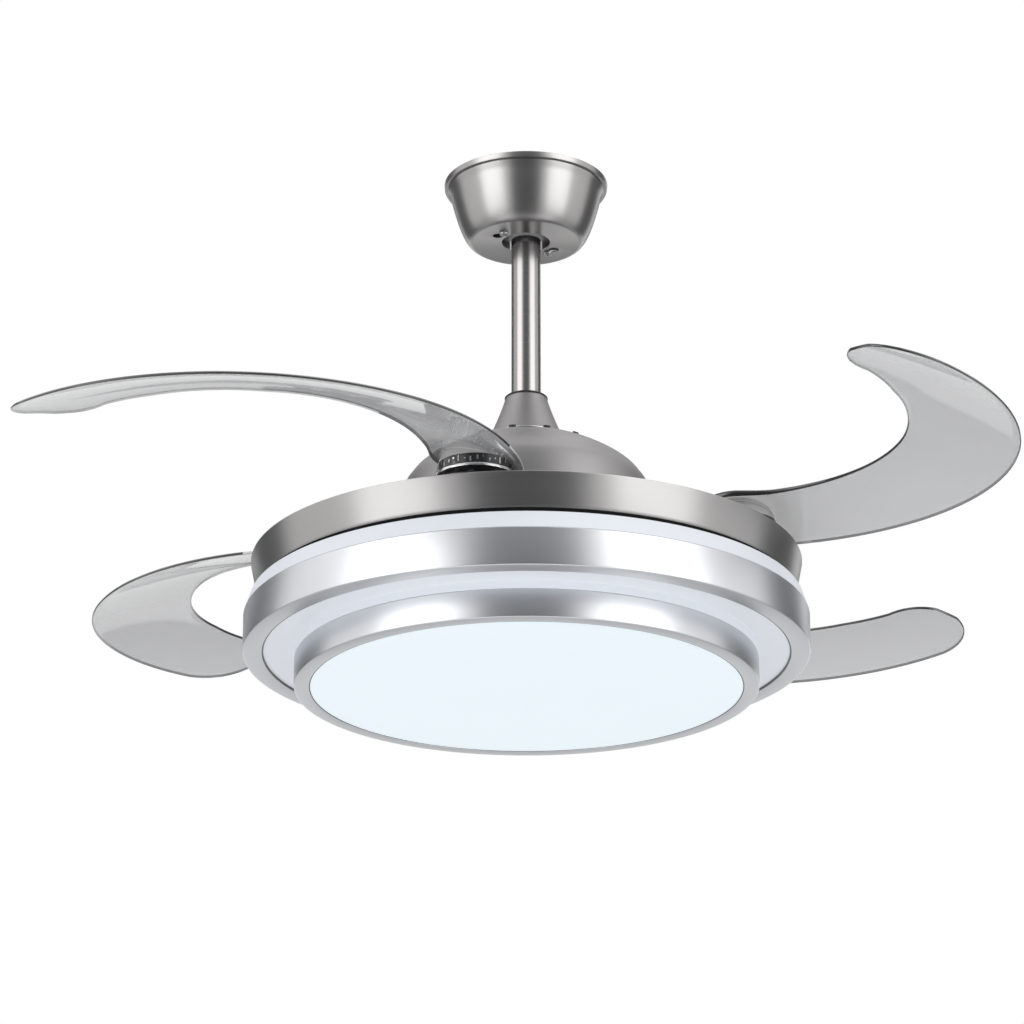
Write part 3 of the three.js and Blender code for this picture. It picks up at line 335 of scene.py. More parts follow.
# Pale plastic where clear edges catch light: a painted highlight on the blade's outer edge near the root and
# on the cup's bead.
HIGHLIGHT_EDGE = moulded_plastic("painted_highlight_edge", (0.58, 0.57, 0.56), (0.84, 0.83, 0.82), 0.2, 300.0, 0.5)
BOSS = smoked_clear("clear_boss", (0.84, 0.84, 0.85), 0.5, 0.9, 0.1)
CHROME = plain_metal("polished_ring", (0.72, 0.72, 0.73), (0.9, 0.9, 0.91), 0.1)
STEEL = plain_metal("plated_steel", (0.42, 0.42, 0.43), (0.62, 0.62, 0.63), 0.3)
DARK_STEEL = plain_metal("dark_steel", (0.10, 0.10, 0.105), (0.2, 0.2, 0.21), 0.42)
CAST = plain_metal("cast_alloy", (0.42, 0.43, 0.44), (0.6, 0.61, 0.62), 0.45)
BLACK = moulded_plastic("black_plastic", (0.010, 0.010, 0.011), (0.028, 0.028, 0.030), 0.34)
GLOSS_BLACK = moulded_plastic("gloss_black", (0.006, 0.006, 0.007), (0.018, 0.018, 0.020), 0.16, 700.0, 0.6)
GREY_BALL = moulded_plastic("grey_ball", (0.36, 0.36, 0.37), (0.46, 0.46, 0.47), 0.25)
RUBBER = moulded_plastic("black_rubber", (0.010, 0.010, 0.010), (0.022, 0.022, 0.022), 0.7)
# Black of the chassis brim, made almost unreflective: real black plastic that also stands in as painted
# shadow for the gap under the tray.
SHADOW_GAP_BLACK = moulded_plastic("black_and_painted_shadow", (0.005, 0.005, 0.005), (0.010, 0.010, 0.010), 0.8, shine=0.1)
GEAR = moulded_plastic("gear_plastic", (0.60, 0.59, 0.56), (0.74, 0.73, 0.70), 0.4)
BOARD = moulded_plastic("white_board", (0.76, 0.77, 0.76), (0.86, 0.87, 0.85), 0.5)
COPPER = plain_metal("copper_wire", (0.50, 0.22, 0.10), (0.72, 0.36, 0.18), 0.35)
FERRITE = moulded_plastic("ferrite", (0.08, 0.08, 0.085), (0.14, 0.14, 0.145), 0.55)

SLOT_MATERIALS = {
    "brushed_nickel": NICKEL, "aluminium_trim": ALUMINIUM, "cast_alloy": CAST, "plated_steel": STEEL,
    "dark_steel": DARK_STEEL, "black_plastic": BLACK, "clear_smoke": BLADE, "ring_gear": GEAR,
    "frosted_acrylic": FROSTED, "white_board": BOARD, "copper_wire": COPPER, "black_rubber": RUBBER,
    "ferrite": FERRITE,
}


def dress_frame():
    """Every CAD node that stays in view gets its slot's finished material."""
    for part in frame["record"]["subparts"]:
        node = frame["nodes"][part["node"]]
        for place in node.material_slots:
            place.material = SLOT_MATERIALS[part["material_slot"]]
    frame["nodes"]["hanger_bracket"].material_slots[0].material = DARK_STEEL


dress_frame()


# ------------------------------------------------------------- mesh helpers
SHARP_ANGLE = math.radians(38)
SQUARE = ((-1, -1), (1, -1), (1, 1), (-1, 1))


def soften(mesh):
    """Smooth faces, with the edges between steeply turned faces kept sharp."""
    for face in mesh.faces:
        face.smooth = True
    for edge in mesh.edges:
        edge.smooth = not (len(edge.link_faces) == 2 and edge.calc_face_angle(0.0) > SHARP_ANGLE)


def new_object(name, mesh, materials=()):
    """Puts a bmesh into the scene as an object, and frees the bmesh."""
    data = bpy.data.meshes.new(name)
    mesh.to_mesh(data)
    mesh.free()
    for material in materials:
        data.materials.append(material)
    piece = bpy.data.objects.new(name, data)
    bpy.context.scene.collection.objects.link(piece)
    return piece


def finish_piece(name, mesh, materials, body, nodes=(), place=None):
    """Turns a bmesh into a piece that rides on a body."""
    bmesh.ops.recalc_face_normals(mesh, faces=mesh.faces)
    soften(mesh)
    if place is not None:
        mesh.transform(place)
    piece = new_object(name, mesh, materials)
    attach(piece, body)
    if nodes:
        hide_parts(*nodes)
    return piece


def rounded(corners):
    """Profile corners (radius, z, fillet) with each fillet as a short arc."""
    points = []
    count = len(corners)
    for i, (r, z, fillet) in enumerate(corners):
        here = Vector((r, z))
        if fillet <= 0:
            points.append((r, z))
            continue
        before = Vector(corners[i - 1][:2]) - here
        after = Vector(corners[(i + 1) % count][:2]) - here
        reach = min(fillet, 0.45 * before.length, 0.45 * after.length)
        start = here + before.normalized() * reach
        end = here + after.normalized() * reach
        for k in range(5):
            t = k / 4
            spot = (1 - t) ** 2 * start + 2 * t * (1 - t) * here + t ** 2 * end
            points.append((spot.x, spot.y))
    return points


def lathe(mesh, profile, steps=160, closed=True, index=0):
    """Turns a profile of (radius, z) about Z into an existing bmesh."""
    rows = []
    for k in range(steps):
        turn = math.radians(360.0 * k / steps)
        across = (math.cos(turn), math.sin(turn))
        rows.append([mesh.verts.new((r * MM * across[0], r * MM * across[1], z * MM)) for r, z in profile])
    spans = len(profile) if closed else len(profile) - 1
    for here, there in zip(rows, rows[1:] + rows[:1]):
        for i in range(spans):
            j = (i + 1) % len(profile)
            mesh.faces.new((here[i], here[j], there[j], there[i])).material_index = index
    on_axis = [v for v in mesh.verts if abs(v.co.x) < 1e-9 and abs(v.co.y) < 1e-9]
    if on_axis:
        bmesh.ops.remove_doubles(mesh, verts=on_axis, dist=1e-7)
        bmesh.ops.dissolve_degenerate(mesh, edges=mesh.edges, dist=1e-8)
    return mesh


def turned(name, corners, material, body, nodes=(), steps=160, place=None):
    """A whole turned piece from rounded corners."""
    mesh = lathe(bmesh.new(), rounded(corners), steps)
    return finish_piece(name, mesh, [material], body, nodes, place)


def prism(mesh, outline, bottom, top, holes=()):
    """A straight block on an outline of (x, y), with holes through it."""
    loops = [outline, *holes]
    edges = []
    for loop in loops:
        verts = [mesh.verts.new((x * MM, y * MM, bottom * MM)) for x, y in loop]
        edges += [mesh.edges.new((verts[i], verts[(i + 1) % len(verts)])) for i in range(len(verts))]
    filled = bmesh.ops.triangle_fill(mesh, edges=edges, use_beauty=True)
    faces = [item for item in filled["geom"] if isinstance(item, bmesh.types.BMFace)]
    raised = bmesh.ops.extrude_face_region(mesh, geom=faces)
    verts = [item for item in raised["geom"] if isinstance(item, bmesh.types.BMVert)]
    bmesh.ops.translate(mesh, verts=verts, vec=(0, 0, (top - bottom) * MM))
    return mesh


def circle(radius, steps, centre=(0.0, 0.0)):
    return [(centre[0] + radius * math.cos(math.radians(360 * k / steps)),
             centre[1] + radius * math.sin(math.radians(360 * k / steps))) for k in range(steps)]


def polar(radius, degrees):
    return radius * math.cos(math.radians(degrees)), radius * math.sin(math.radians(degrees))


def carve(piece, tools):
    """Cuts solids out of a piece, removes the solids and softens the result."""
    for tool in tools:
        step = piece.modifiers.new("cut", "BOOLEAN")
        step.operation = "DIFFERENCE"
        step.solver = "EXACT"
        step.object = tool
    graph = bpy.context.evaluated_depsgraph_get()
    cut = bpy.data.meshes.new_from_object(piece.evaluated_get(graph))
    piece.modifiers.clear()
    old = piece.data
    piece.data = cut
    bpy.data.meshes.remove(old)
    for tool in tools:
        data = tool.data
        bpy.data.objects.remove(tool)
        bpy.data.meshes.remove(data)
    mesh = bmesh.new()
    mesh.from_mesh(piece.data)
    soften(mesh)
    mesh.to_mesh(piece.data)
    mesh.free()


def cutter(mesh):
    bmesh.ops.recalc_face_normals(mesh, faces=mesh.faces)
    return new_object("cutter", mesh)


# --------------------------------------------------------- canopy and hanger
def canopy_profile():
    top = high("canopy")
    floor = low("canopy")
    bowl_top = top - CANOPY_RIM
    bowl_radius = CANOPY_RADIUS - CANOPY_STEP
    span = bowl_top - floor

    def bowl(inset):
        steps = 22
        for i in range(steps + 1):
            share = 1 - i / steps
            radius = CANOPY_FLOOR_RADIUS + (bowl_radius - CANOPY_FLOOR_RADIUS) * share
            yield radius - inset, bowl_top - span * (1 - share ** CANOPY_CURVE) + inset * (1 - share)

    outside = [(CANOPY_RADIUS - 0.8, top), (CANOPY_RADIUS, top - 0.6), (CANOPY_RADIUS - 0.3, bowl_top + 1.6),
               (CANOPY_RADIUS - 0.7, bowl_top + 0.8), (bowl_radius + 0.4, bowl_top + 0.5)]
    bead = [(bowl_radius + 0.3, bowl_top + 0.2), (bowl_radius + 1.2, bowl_top - 0.5),
            (bowl_radius + 1.0, bowl_top - 1.3)]
    wall = [spot for spot in bowl(0.0) if spot[1] < bowl_top - 1.6]
    lip = [(CANOPY_FLOOR_RADIUS - 1.0, floor), (CANOPY_FLOOR_RADIUS - 2.6, floor + 0.5),
           (CANOPY_HOLE + 1.2, floor + 0.5), (CANOPY_HOLE + 0.2, floor + 0.7),
           (CANOPY_HOLE, floor + CANOPY_SHEET)]
    inside = list(bowl(CANOPY_SHEET))[::-1]
    cap = [(CANOPY_RADIUS - CANOPY_SHEET, bowl_top + 1.5), (CANOPY_RADIUS - CANOPY_SHEET, top)]
    return outside + bead + wall + lip + inside + cap


def keyhole_cutters():
    floor = low("canopy")
    half = 2.5
    past_screw = 5
    sweep = KEYHOLE_SWEEP + past_screw
    tools = []
    for centre in SCREW_ANGLES:
        outer = [polar(SCREW_CIRCLE + half, centre - KEYHOLE_SWEEP + k * sweep / 8) for k in range(9)]
        inner = [polar(SCREW_CIRCLE - half, centre + past_screw - k * sweep / 8) for k in range(9)]
        tools.append(cutter(prism(bmesh.new(), outer + inner, floor - 3, floor + 3)))
        entry = circle(4.7, 24, polar(SCREW_CIRCLE, centre - KEYHOLE_SWEEP))
        tools.append(cutter(prism(bmesh.new(), entry, floor - 3, floor + 3)))
    return tools


def make_canopy():
    mesh = lathe(bmesh.new(), canopy_profile(), 144)
    piece = finish_piece("canopy_shell", mesh, [NICKEL], "mount", ["canopy"])
    carve(piece, keyhole_cutters())


def pan_screw(name, centre, head_z, radius, body, node):
    """A pan-head screw with its head down and a cross recess."""
    height = 2.2
    shank = 1.9
    length = 10.0
    profile = [(0, head_z - height), (radius * 0.55, head_z - height * 0.92),
               (radius * 0.9, head_z - height * 0.5), (radius, head_z), (shank, head_z),
               (shank, head_z + length), (0, head_z + length)]
    mesh = lathe(bmesh.new(), profile, 32, closed=False)
    place = Matrix.Translation((centre[0] * MM, centre[1] * MM, 0))
    piece = finish_piece(name, mesh, [STEEL], body, [node], place)
    tools = []
    for along, across in ((radius * 1.3, 0.9), (0.9, radius * 1.3)):
        corners = [(centre[0] + sx * along / 2, centre[1] + sy * across / 2) for sx, sy in SQUARE]
        tools.append(cutter(prism(bmesh.new(), corners, head_z - (height + 1), head_z - height * 0.35)))
    carve(piece, tools)


def make_hanger():
    ball_low = low("hanger_ball")
    ball_high = high("hanger_ball")
    corners = [(ROD_RADIUS + 0.3, ball_low)]
    steps = 28
    for k in range(steps + 1):
        z = ball_low + (ball_high - ball_low) * k / steps
        corners.append((math.sqrt(max(0.0, BALL_RADIUS ** 2 - (z - BALL_Z) ** 2)), z))
    corners.append((ROD_RADIUS + 0.3, ball_high))
    mesh = lathe(bmesh.new(), corners, 96)
    finish_piece("ball", mesh, [GREY_BALL], "hanger", ["hanger_ball"])
    turned("rod", [(ROD_RADIUS - ROD_WALL, low("downrod"), 0), (ROD_RADIUS, low("downrod"), 0.5),
                   (ROD_RADIUS, high("downrod"), 0.5), (ROD_RADIUS - ROD_WALL, high("downrod"), 0)],
           ROD_NICKEL, "hanger", ["downrod"], 96)
    for k, degrees in enumerate(SCREW_ANGLES, 1):
        pan_screw(f"canopy_fastener_{k}", polar(SCREW_CIRCLE, degrees), low("canopy") - 0.3, 4.2, "mount",
                  f"canopy_screw_{k}")


# -------------------------------------------------------- coupling and dome
def make_coupling():
    top = high("coupling_cover")
    foot = low("coupling_cover") - BELL_SINK
    span = top - foot
    steps = 26
    outer = []
    for i in range(steps + 1):
        t = i / steps
        radius = BELL_TOP_RADIUS + (BELL_FOOT_RADIUS - BELL_TOP_RADIUS) * t ** BELL_CURVE
        outer.append((radius, top - BELL_CROWN - (span - BELL_CROWN) * t))
    inner = [(r - 1.2, max(foot, z - 1.2)) for r, z in reversed(outer)]
    throat = ROD_RADIUS + 1.0
    crown = [(throat, top - 0.3), (throat + 0.4, top), (BELL_TOP_RADIUS - 1.6, top),
             (BELL_TOP_RADIUS - 0.5, top - 0.4)]
    mesh = lathe(bmesh.new(), crown + outer + inner + [(throat, top - 1.4)], 120)
    finish_piece("coupling_bell", mesh, [SATIN_NICKEL], "hanger", ["coupling_cover"])
    turned("bell_foot_line", [
        (BELL_FOOT_RADIUS - 1.0, foot + 0.1, 0), (BELL_FOOT_RADIUS + 0.9, foot + 0.1, 0.3),
        (BELL_FOOT_RADIUS + 0.5, foot + 1.0, 0.4), (BELL_FOOT_RADIUS - 1.0, foot + 1.0, 0)],
           ALUMINIUM, "hanger", (), 120)
    base = low("rod_gasket")
    crest = high("rod_gasket")
    brim = BELL_TOP_RADIUS + 0.5
    turned("gasket", [
        (ROD_RADIUS + 0.25, base - 0.2, 0), (BELL_TOP_RADIUS - 1.6, base - 0.2, 0), (brim, base - 1.5, 0.2),
        (brim, base - 0.6, 0.4), (brim - 1.6, base + 0.7, 0.4), (ROD_RADIUS + 2.2, base + 1.0, 0.3),
        (ROD_RADIUS + 1.4, crest, 0.5), (ROD_RADIUS + 0.25, crest, 0)],
           RUBBER, "hanger", ["rod_gasket"], 96)


def smooth_through(points, steps):
    """A smooth curve through (radius, z) points."""
    result = []
    for i in range(len(points) - 1):
        p0 = Vector(points[max(i - 1, 0)])
        p1 = Vector(points[i])
        p2 = Vector(points[i + 1])
        p3 = Vector(points[min(i + 2, len(points) - 1)])
        for k in range(steps):
            t = k / steps
            spot = 0.5 * (2 * p1 + (p2 - p0) * t + (2 * p0 - 5 * p1 + 4 * p2 - p3) * t ** 2
                          + (3 * p1 - p0 - 3 * p2 + p3) * t ** 3)
            result.append((spot.x, spot.y))
    result.append(tuple(points[-1]))
    return result


def oval(width, length, step):
    return [(width / 2 * math.cos(math.radians(a)), length / 2 * math.sin(math.radians(a)))
            for a in range(0, 360, step)]


def vent_places(top):
    """Where each vent stands, tilted with the dome's slope."""
    for k in range(VENT_COUNT):
        degrees = VENT_FIRST + k * 360 / VENT_COUNT
        x, y = polar(VENT_CIRCLE, degrees)
        yield (Matrix.Translation((x * MM, y * MM, (top - VENT_DROP) * MM))
               @ Matrix.Rotation(math.radians(degrees), 4, "Z")
               @ Matrix.Rotation(math.radians(VENT_SLOPE), 4, "Y"))


def make_dome():
    top = high("motor_dome")
    rim = low("motor_dome")
    skin = [(r * DOME_RADIUS, drop * (top - rim)) for r, drop in DOME_PROFILE]
    outline = [(BELL_FOOT_RADIUS + 0.6, BELL_SINK), *skin, (DOME_RADIUS, top - rim)]
    outer = [(r, top - drop) for r, drop in smooth_through(outline, 9)]
    inner = [(r - 1.4, z - 1.0 if z > rim + 2 else z) for r, z in reversed(outer)]
    profile = [(DOME_HOLE, top)] + outer + inner + [(DOME_HOLE, top - 1.2)]
    piece = finish_piece("dome", lathe(bmesh.new(), profile, 160), [SATIN_NICKEL], "hanger",
                         ["motor_dome"])
    tools = []
    for place in vent_places(top):
        tool = prism(bmesh.new(), oval(VENT_WIDTH, VENT_LENGTH, 20), -6, 6)
        tool.transform(place)
        tools.append(cutter(tool))
    carve(piece, tools)
    # Black raised rings round the vents, which make each vent show as a dark slot.
    dark_rings = bmesh.new()
    outline = oval(1.2 * VENT_WIDTH, 0.8 * VENT_LENGTH, 15)
    opening = [(0.55 * x, 0.7 * y) for x, y in outline]
    for place in vent_places(top):
        ring = prism(bmesh.new(), outline, -1.2, 2.4, [opening])
        ring.transform(place)
        data = bpy.data.meshes.new("vent_ring")
        ring.to_mesh(data)
        ring.free()
        dark_rings.from_mesh(data)
        bpy.data.meshes.remove(data)
    finish_piece("vent_dark_rings", dark_rings, [BLACK], "hanger")


# ---------------------------------------------------------------------- tray
def make_tray():
    rim = high("tray")
    foot = low("tray")
    corner = 5.0
    turned("tray_pan", [
        (TRAY_BORE, foot, 0), (TRAY_FOOT_RADIUS, foot, corner), (TRAY_RIM_RADIUS, rim - 1.2, 0.4),
        (TRAY_RIM_RADIUS, rim - 0.2, 0.6), (TRAY_RIM_RADIUS - 1.8, rim, 0.6),
        (TRAY_FOOT_RADIUS - 2.0, foot + 2.0, corner - 2), (TRAY_BORE, foot + 2.0, 0)],
        NICKEL, "hanger", ["tray"], 200)
    top = high("light_chassis")
    base = low("light_chassis")
    brim = TRAY_FOOT_RADIUS + 0.8
    # The chassis brim fills the gap between tray and band with near-black: a real black edge that also stands
    # in as painted shadow for that gap.
    turned("chassis_plate", [
        (CHASSIS_BORE, base, 0), (brim, base, 0), (brim, top + 2.2, 0.5),
        (TRAY_FOOT_RADIUS - 0.6, top + 2.2, 0), (TRAY_FOOT_RADIUS - 1.8, top, 0), (CHASSIS_BORE, top, 0)],
           SHADOW_GAP_BLACK, "hanger", ["light_chassis"], 200)


# --------------------------------------------------------------------- light
def light_piece(name, corners, material, slot, *nodes):
    raised = [(r, z + LIGHT_Z, fillet) for r, z, fillet in corners]
    return turned(name, raised, material, "hanger", nodes, 200)


def make_light():
    light_piece("upper_trim", [
        (UPPER_LIP, 0, 0.3), (UPPER_RADIUS, 0, 1.6), (UPPER_RADIUS, UPPER_HEIGHT, 0.7),
        (UPPER_RADIUS - RING_SHEET, UPPER_HEIGHT, 0.3), (UPPER_RADIUS - RING_SHEET, RING_SHEET, 0),
        (UPPER_LIP, RING_SHEET, 0.3)], ALUMINIUM, "aluminium_trim", "upper_ring")
    tub = UPPER_RADIUS - RING_SHEET - 0.3
    foot = RING_SHEET + 0.3
    wall = 2.5
    band_foot = UPPER_HEIGHT + 0.4
    band_top = band_foot + BAND_HEIGHT
    light_piece("upper_glow", [
        (LOWER_RADIUS, foot, 0.6), (tub, foot, 0.6), (tub, band_foot, 0), (UPPER_RADIUS - 0.4, band_foot, 0),
        (UPPER_RADIUS - 5.5, band_top, 1.4), (UPPER_RADIUS - 14, band_top, 0),
        (UPPER_RADIUS - 14, band_top - wall, 0),
        (tub - wall, band_foot, 0), (tub - wall, foot + wall, 0), (LOWER_RADIUS - wall, foot + wall, 0),
        (LOWER_RADIUS - wall, -SKIRT, 0), (LOWER_RADIUS, -SKIRT, 0)],
        FROSTED_BAND, "frosted_acrylic", "upper_diffuser")
    # Dark ring inside the upper lip: painted shade, the thin shadow line along the lip's inner edge.
    light_piece("upper_lip_shadow_line", [
        (UPPER_LIP - 1.1, 0.5, 0), (UPPER_LIP + 0.2, 0.5, 0), (UPPER_LIP + 0.2, foot + 0.1, 0),
        (UPPER_LIP - 1.1, foot + 0.1, 0)], DARK_STEEL, "aluminium_trim")
    ring_top = -SKIRT - 0.3
    light_piece("lower_trim", [
        (LOWER_LIP, -LOWER_DEPTH, 0.3), (LOWER_RADIUS, -LOWER_DEPTH, 1.6), (LOWER_RADIUS, ring_top, 0.7),
        (LOWER_RADIUS - RING_SHEET, ring_top, 0.3), (LOWER_RADIUS - RING_SHEET, RING_SHEET - LOWER_DEPTH, 0),
        (LOWER_LIP, RING_SHEET - LOWER_DEPTH, 0.3)], ALUMINIUM, "aluminium_trim", "lower_ring")
    # Dark ring inside the lower lip: painted shade, the same thin shadow line.
    light_piece("lower_lip_shadow_line", [
        (LOWER_LIP - 0.9, 0.3 - LOWER_DEPTH, 0), (LOWER_LIP + 0.2, 0.3 - LOWER_DEPTH, 0),
        (LOWER_LIP + 0.2, 1.5 - LOWER_DEPTH, 0), (LOWER_LIP - 0.9, 1.5 - LOWER_DEPTH, 0)],
        DARK_STEEL, "aluminium_trim")
    face = LOWER_LIP - 0.3
    seat = RING_SHEET + 0.3 - LOWER_DEPTH
    steps = 16
    crown = [(face * k / steps, -LOWER_DEPTH - 1.2 * (1 - (k / steps) ** 2) + 0.4) for k in range(steps + 1)]
    flange = LOWER_RADIUS - RING_SHEET - 0.3
    back = [(face, seat), (flange, seat), (flange, seat + wall), (0, seat + wall)]
    profile = [(r, z + LIGHT_Z) for r, z in crown + back]
    finish_piece("round_face", lathe(bmesh.new(), profile, 200, closed=False), [FROSTED], "hanger",
                 ["lower_diffuser"])


# -------------------------------------------------------------------- blades
def ease(x):
    return min(1.0, max(0.0, x))


def full_radii(psi):
    """Inner and outer edge before the blade's two ends are rounded."""
    root_inner = PIVOT_RADIUS - HUB_RADIUS
    root_outer = PIVOT_RADIUS + HUB_RADIUS
    body_end = BLADE_SPAN - TIP_SPAN
    grow = 1 - (1 - ease(psi / 60)) ** 2
    outer_grow = 1 - (1 - ease(psi / 75)) ** 1.5
    outer = root_outer + (SWEEP_OUTER - root_outer) * outer_grow - 4.5 * ease((psi - 85) / (body_end - 85))
    inner = root_inner + 6.5 * grow + 5 * ease((psi - 110) / (body_end - 110))
    return inner, outer


def edge_radii(psi):
    """Inner and outer edge of a blade, an angle psi along its arc."""
    if psi < 0:
        across = PIVOT_RADIUS * math.cos(math.radians(psi))
        half = math.sqrt(max(0.0, HUB_RADIUS ** 2 - (PIVOT_RADIUS * math.sin(math.radians(psi))) ** 2))
        return across - half, across + half
    inner, outer = full_radii(psi)
    reach = ease((psi - BLADE_SPAN + TIP_SPAN) / TIP_SPAN)
    half = (outer - inner) / 2 * (1 - reach ** TIP_ROUNDNESS) ** (1 / TIP_ROUNDNESS)
    middle = (inner + outer) / 2 - TIP_LEAN * reach
    return middle - half, middle + half


def share_across(psi, t):
    """Where a point between the blade's edges lies between its full edges."""
    inner, outer = edge_radii(psi)
    full_inner, full_outer = full_radii(psi)
    return (inner + (outer - inner) * t - full_inner) / (full_outer - full_inner)


def smooth_step(x):
    return ease(x) ** 2 * (3 - 2 * ease(x))


def cup_top(x):
    return CUP_TOP - CUP_SLANT * x


def over_cup(psi, radius, share, height):
    """Raises the sheet's height where it passes over the clear cup at the pivot."""
    turn = math.radians(psi)
    distance = math.hypot(radius * math.cos(turn) - PIVOT_RADIUS, radius * math.sin(turn))
    near = 1 - smooth_step((distance - 27) / 27)
    inside = 1 - smooth_step((share - 0.5) / 0.5)
    return height + max(0.0, cup_top(radius * math.cos(turn) - PIVOT_RADIUS) - 3.2 - height) * near * inside


def underside(psi, t):
    inner, outer = edge_radii(psi)
    return over_cup(psi, inner + (outer - inner) * t, share_across(psi, t), plain_underside(psi, t))


def plain_underside(psi, t):
    t = share_across(psi, t)
    outer = 0.5 + OUTER_TIP_RISE * ease((psi - 50) / (BLADE_SPAN - 50)) ** 1.9
    body = 75
    climb = ease(psi / body)
    inner = (ROOT_RISE + BODY_RISE * climb * (2 - climb)
             + INNER_TIP_RISE * ease((psi - body) / (BLADE_SPAN - body)))
    return inner + (outer - inner) * t + CAMBER * ease(psi / CAMBER_END) * 4 * t * (1 - t)


def thickness(psi, t):
    return BLADE_SHEET + LIP_HEIGHT * (1 - ease(psi / 55)) ** 2 * (1 - share_across(psi, t)) ** 2


def blade_stations():
    """Angles along the blade, closer together at its two round ends."""
    root = [math.degrees(math.asin(HUB_RADIUS / PIVOT_RADIUS * math.sin(math.radians(turn))))
            for turn in (-89, -86, -82, -76, -70, -62, -54, -46, -38, -29, -20, -10)]
    body = 76
    stations = root + [(BLADE_SPAN - TIP_SPAN) * k / body for k in range(body + 1)]
    tip = [0.12, 0.24, 0.36, 0.48, 0.59, 0.69, 0.77, 0.84, 0.9, 0.94, 0.965]
    return stations + [BLADE_SPAN - TIP_SPAN + TIP_SPAN * reach for reach in tip]


# Share of the bead inwards and share of the sheet upwards, round an edge.
EDGE_ROUND = ((0.25, 0.25), (0.0, 0.5), (0.25, 0.75))


def blade_mesh():
    """Sheet with rounded edges; its edge faces take the second material, a painted dark shade, and its outer
    edge near the root takes the third, a painted highlight.
    """
    mesh = bmesh.new()
    across = 14
    rows = []
    for psi in blade_stations():
        inner, outer = edge_radii(psi)
        width = max(0.05, outer - inner)
        bead = min(1.1, width * 0.2)
        loop = []

        def spot(radius, z):
            turn = math.radians(-psi)
            return mesh.verts.new(((-PIVOT_RADIUS + radius * math.cos(turn)) * MM,
                                   radius * math.sin(turn) * MM, z * MM))

        shares = [bead / width + (1 - 2 * bead / width) * k / across for k in range(across + 1)]
        for t in shares:
            loop.append(spot(inner + width * t, underside(psi, t)))
        for inset, level in EDGE_ROUND:
            loop.append(spot(outer - inset * bead, underside(psi, 1) + level * thickness(psi, 1)))
        for t in reversed(shares):
            loop.append(spot(inner + width * t, underside(psi, t) + thickness(psi, t)))
        for inset, level in reversed(EDGE_ROUND):
            loop.append(spot(inner + inset * bead, underside(psi, 0) + level * thickness(psi, 0)))
        rows.append(loop)
    count = len(rows[0])
    outer_spans = set(range(across, across + 4))
    inner_spans = set(range(count - 4, count))
    for psi, here, there in zip(blade_stations(), rows, rows[1:]):
        for i in range(count):
            j = (i + 1) % count
            face = mesh.faces.new((here[i], here[j], there[j], there[i]))
            face.material_index = 1 if i in inner_spans or i in outer_spans else 0
            # The outer edge near the root takes the painted highlight instead of the painted dark edge.
            if i in outer_spans and psi < HIGHLIGHT_EDGE_END:
                face.material_index = 2
    for row in (rows[0], rows[-1]):
        face = mesh.faces.new(row)
        face.material_index = 1
    return mesh


def tooth_corners(teeth):
    """Corners of an involute tooth about +X, as (radius, degrees)."""
    pitch = GEAR_MODULE * teeth / 2
    base = pitch * math.cos(math.radians(20))

    def involute(angle):
        return math.tan(angle) - angle

    def half(radius):
        angle = math.acos(min(1.0, base / max(radius, base)))
        flank = math.pi / (2 * teeth) - 0.5 / (2 * pitch) + involute(math.radians(20)) - involute(angle)
        return math.degrees(flank)

    radii = [pitch + share * GEAR_MODULE for share in (-DEDENDUM, -0.4, 0.3, 0.85)]
    return [(r, -half(r)) for r in radii] + [(r, half(r)) for r in reversed(radii)]


def toothed_outline(teeth, angles, plain):
    """Outline with teeth at the given angles and a plain rim between them."""
    pitch_angle = 360 / teeth
    root = GEAR_MODULE * teeth / 2 - DEDENDUM * GEAR_MODULE
    corners = []
    for i, degrees in enumerate(angles):
        corners += [(r, degrees + a) for r, a in tooth_corners(teeth)]
        following = angles[(i + 1) % len(angles)] + (360 if i == len(angles) - 1 else 0)
        if following - degrees > 1.5 * pitch_angle:
            start = degrees + pitch_angle / 2
            end = following - pitch_angle / 2
            steps = max(2, math.ceil((end - start) / 3))
            corners.append((root, start))
            corners += [(plain, start + (end - start) * k / steps) for k in range(steps + 1)]
            corners.append((root, end))
    return [polar(r, a) for r, a in corners]


def hub_mesh():
    """Black bowl with its gear sector and three webs inside it."""
    mesh = bmesh.new()
    angles = [180 - FOLD_ANGLE + (i - 1.5) * 360 / HUB_TEETH for i in range(9)]
    prism(mesh, toothed_outline(HUB_TEETH, angles, HUB_RADIUS - 0.3), 0, 5.0, [circle(HUB_BORE, 48)])
    floor = 4.9
    bore = PIN_RADIUS + 0.3
    bowl = rounded([(HUB_BORE, floor, 0), (BOWL_RADIUS - 8, floor, 2), (BOWL_RADIUS - 3, 8.5, 3),
                    (BOWL_RADIUS, HUB_HEIGHT - 2, 0.5), (BOWL_RADIUS - 0.6, HUB_HEIGHT, 0.3),
                    (bore, HUB_HEIGHT, 0.3), (bore, 9, 0), (HUB_BORE, 9, 0)])
    lathe(mesh, bowl, 96)
    for k in range(3):
        middle = 30 + 120 * k
        web = [polar(BOWL_RADIUS - inset, middle + turn)
               for inset, turn in ((5.5, -5), (5.5, 5), (2.2, 5), (2.2, -5))]
        prism(mesh, web, floor, 12.0)
    return mesh


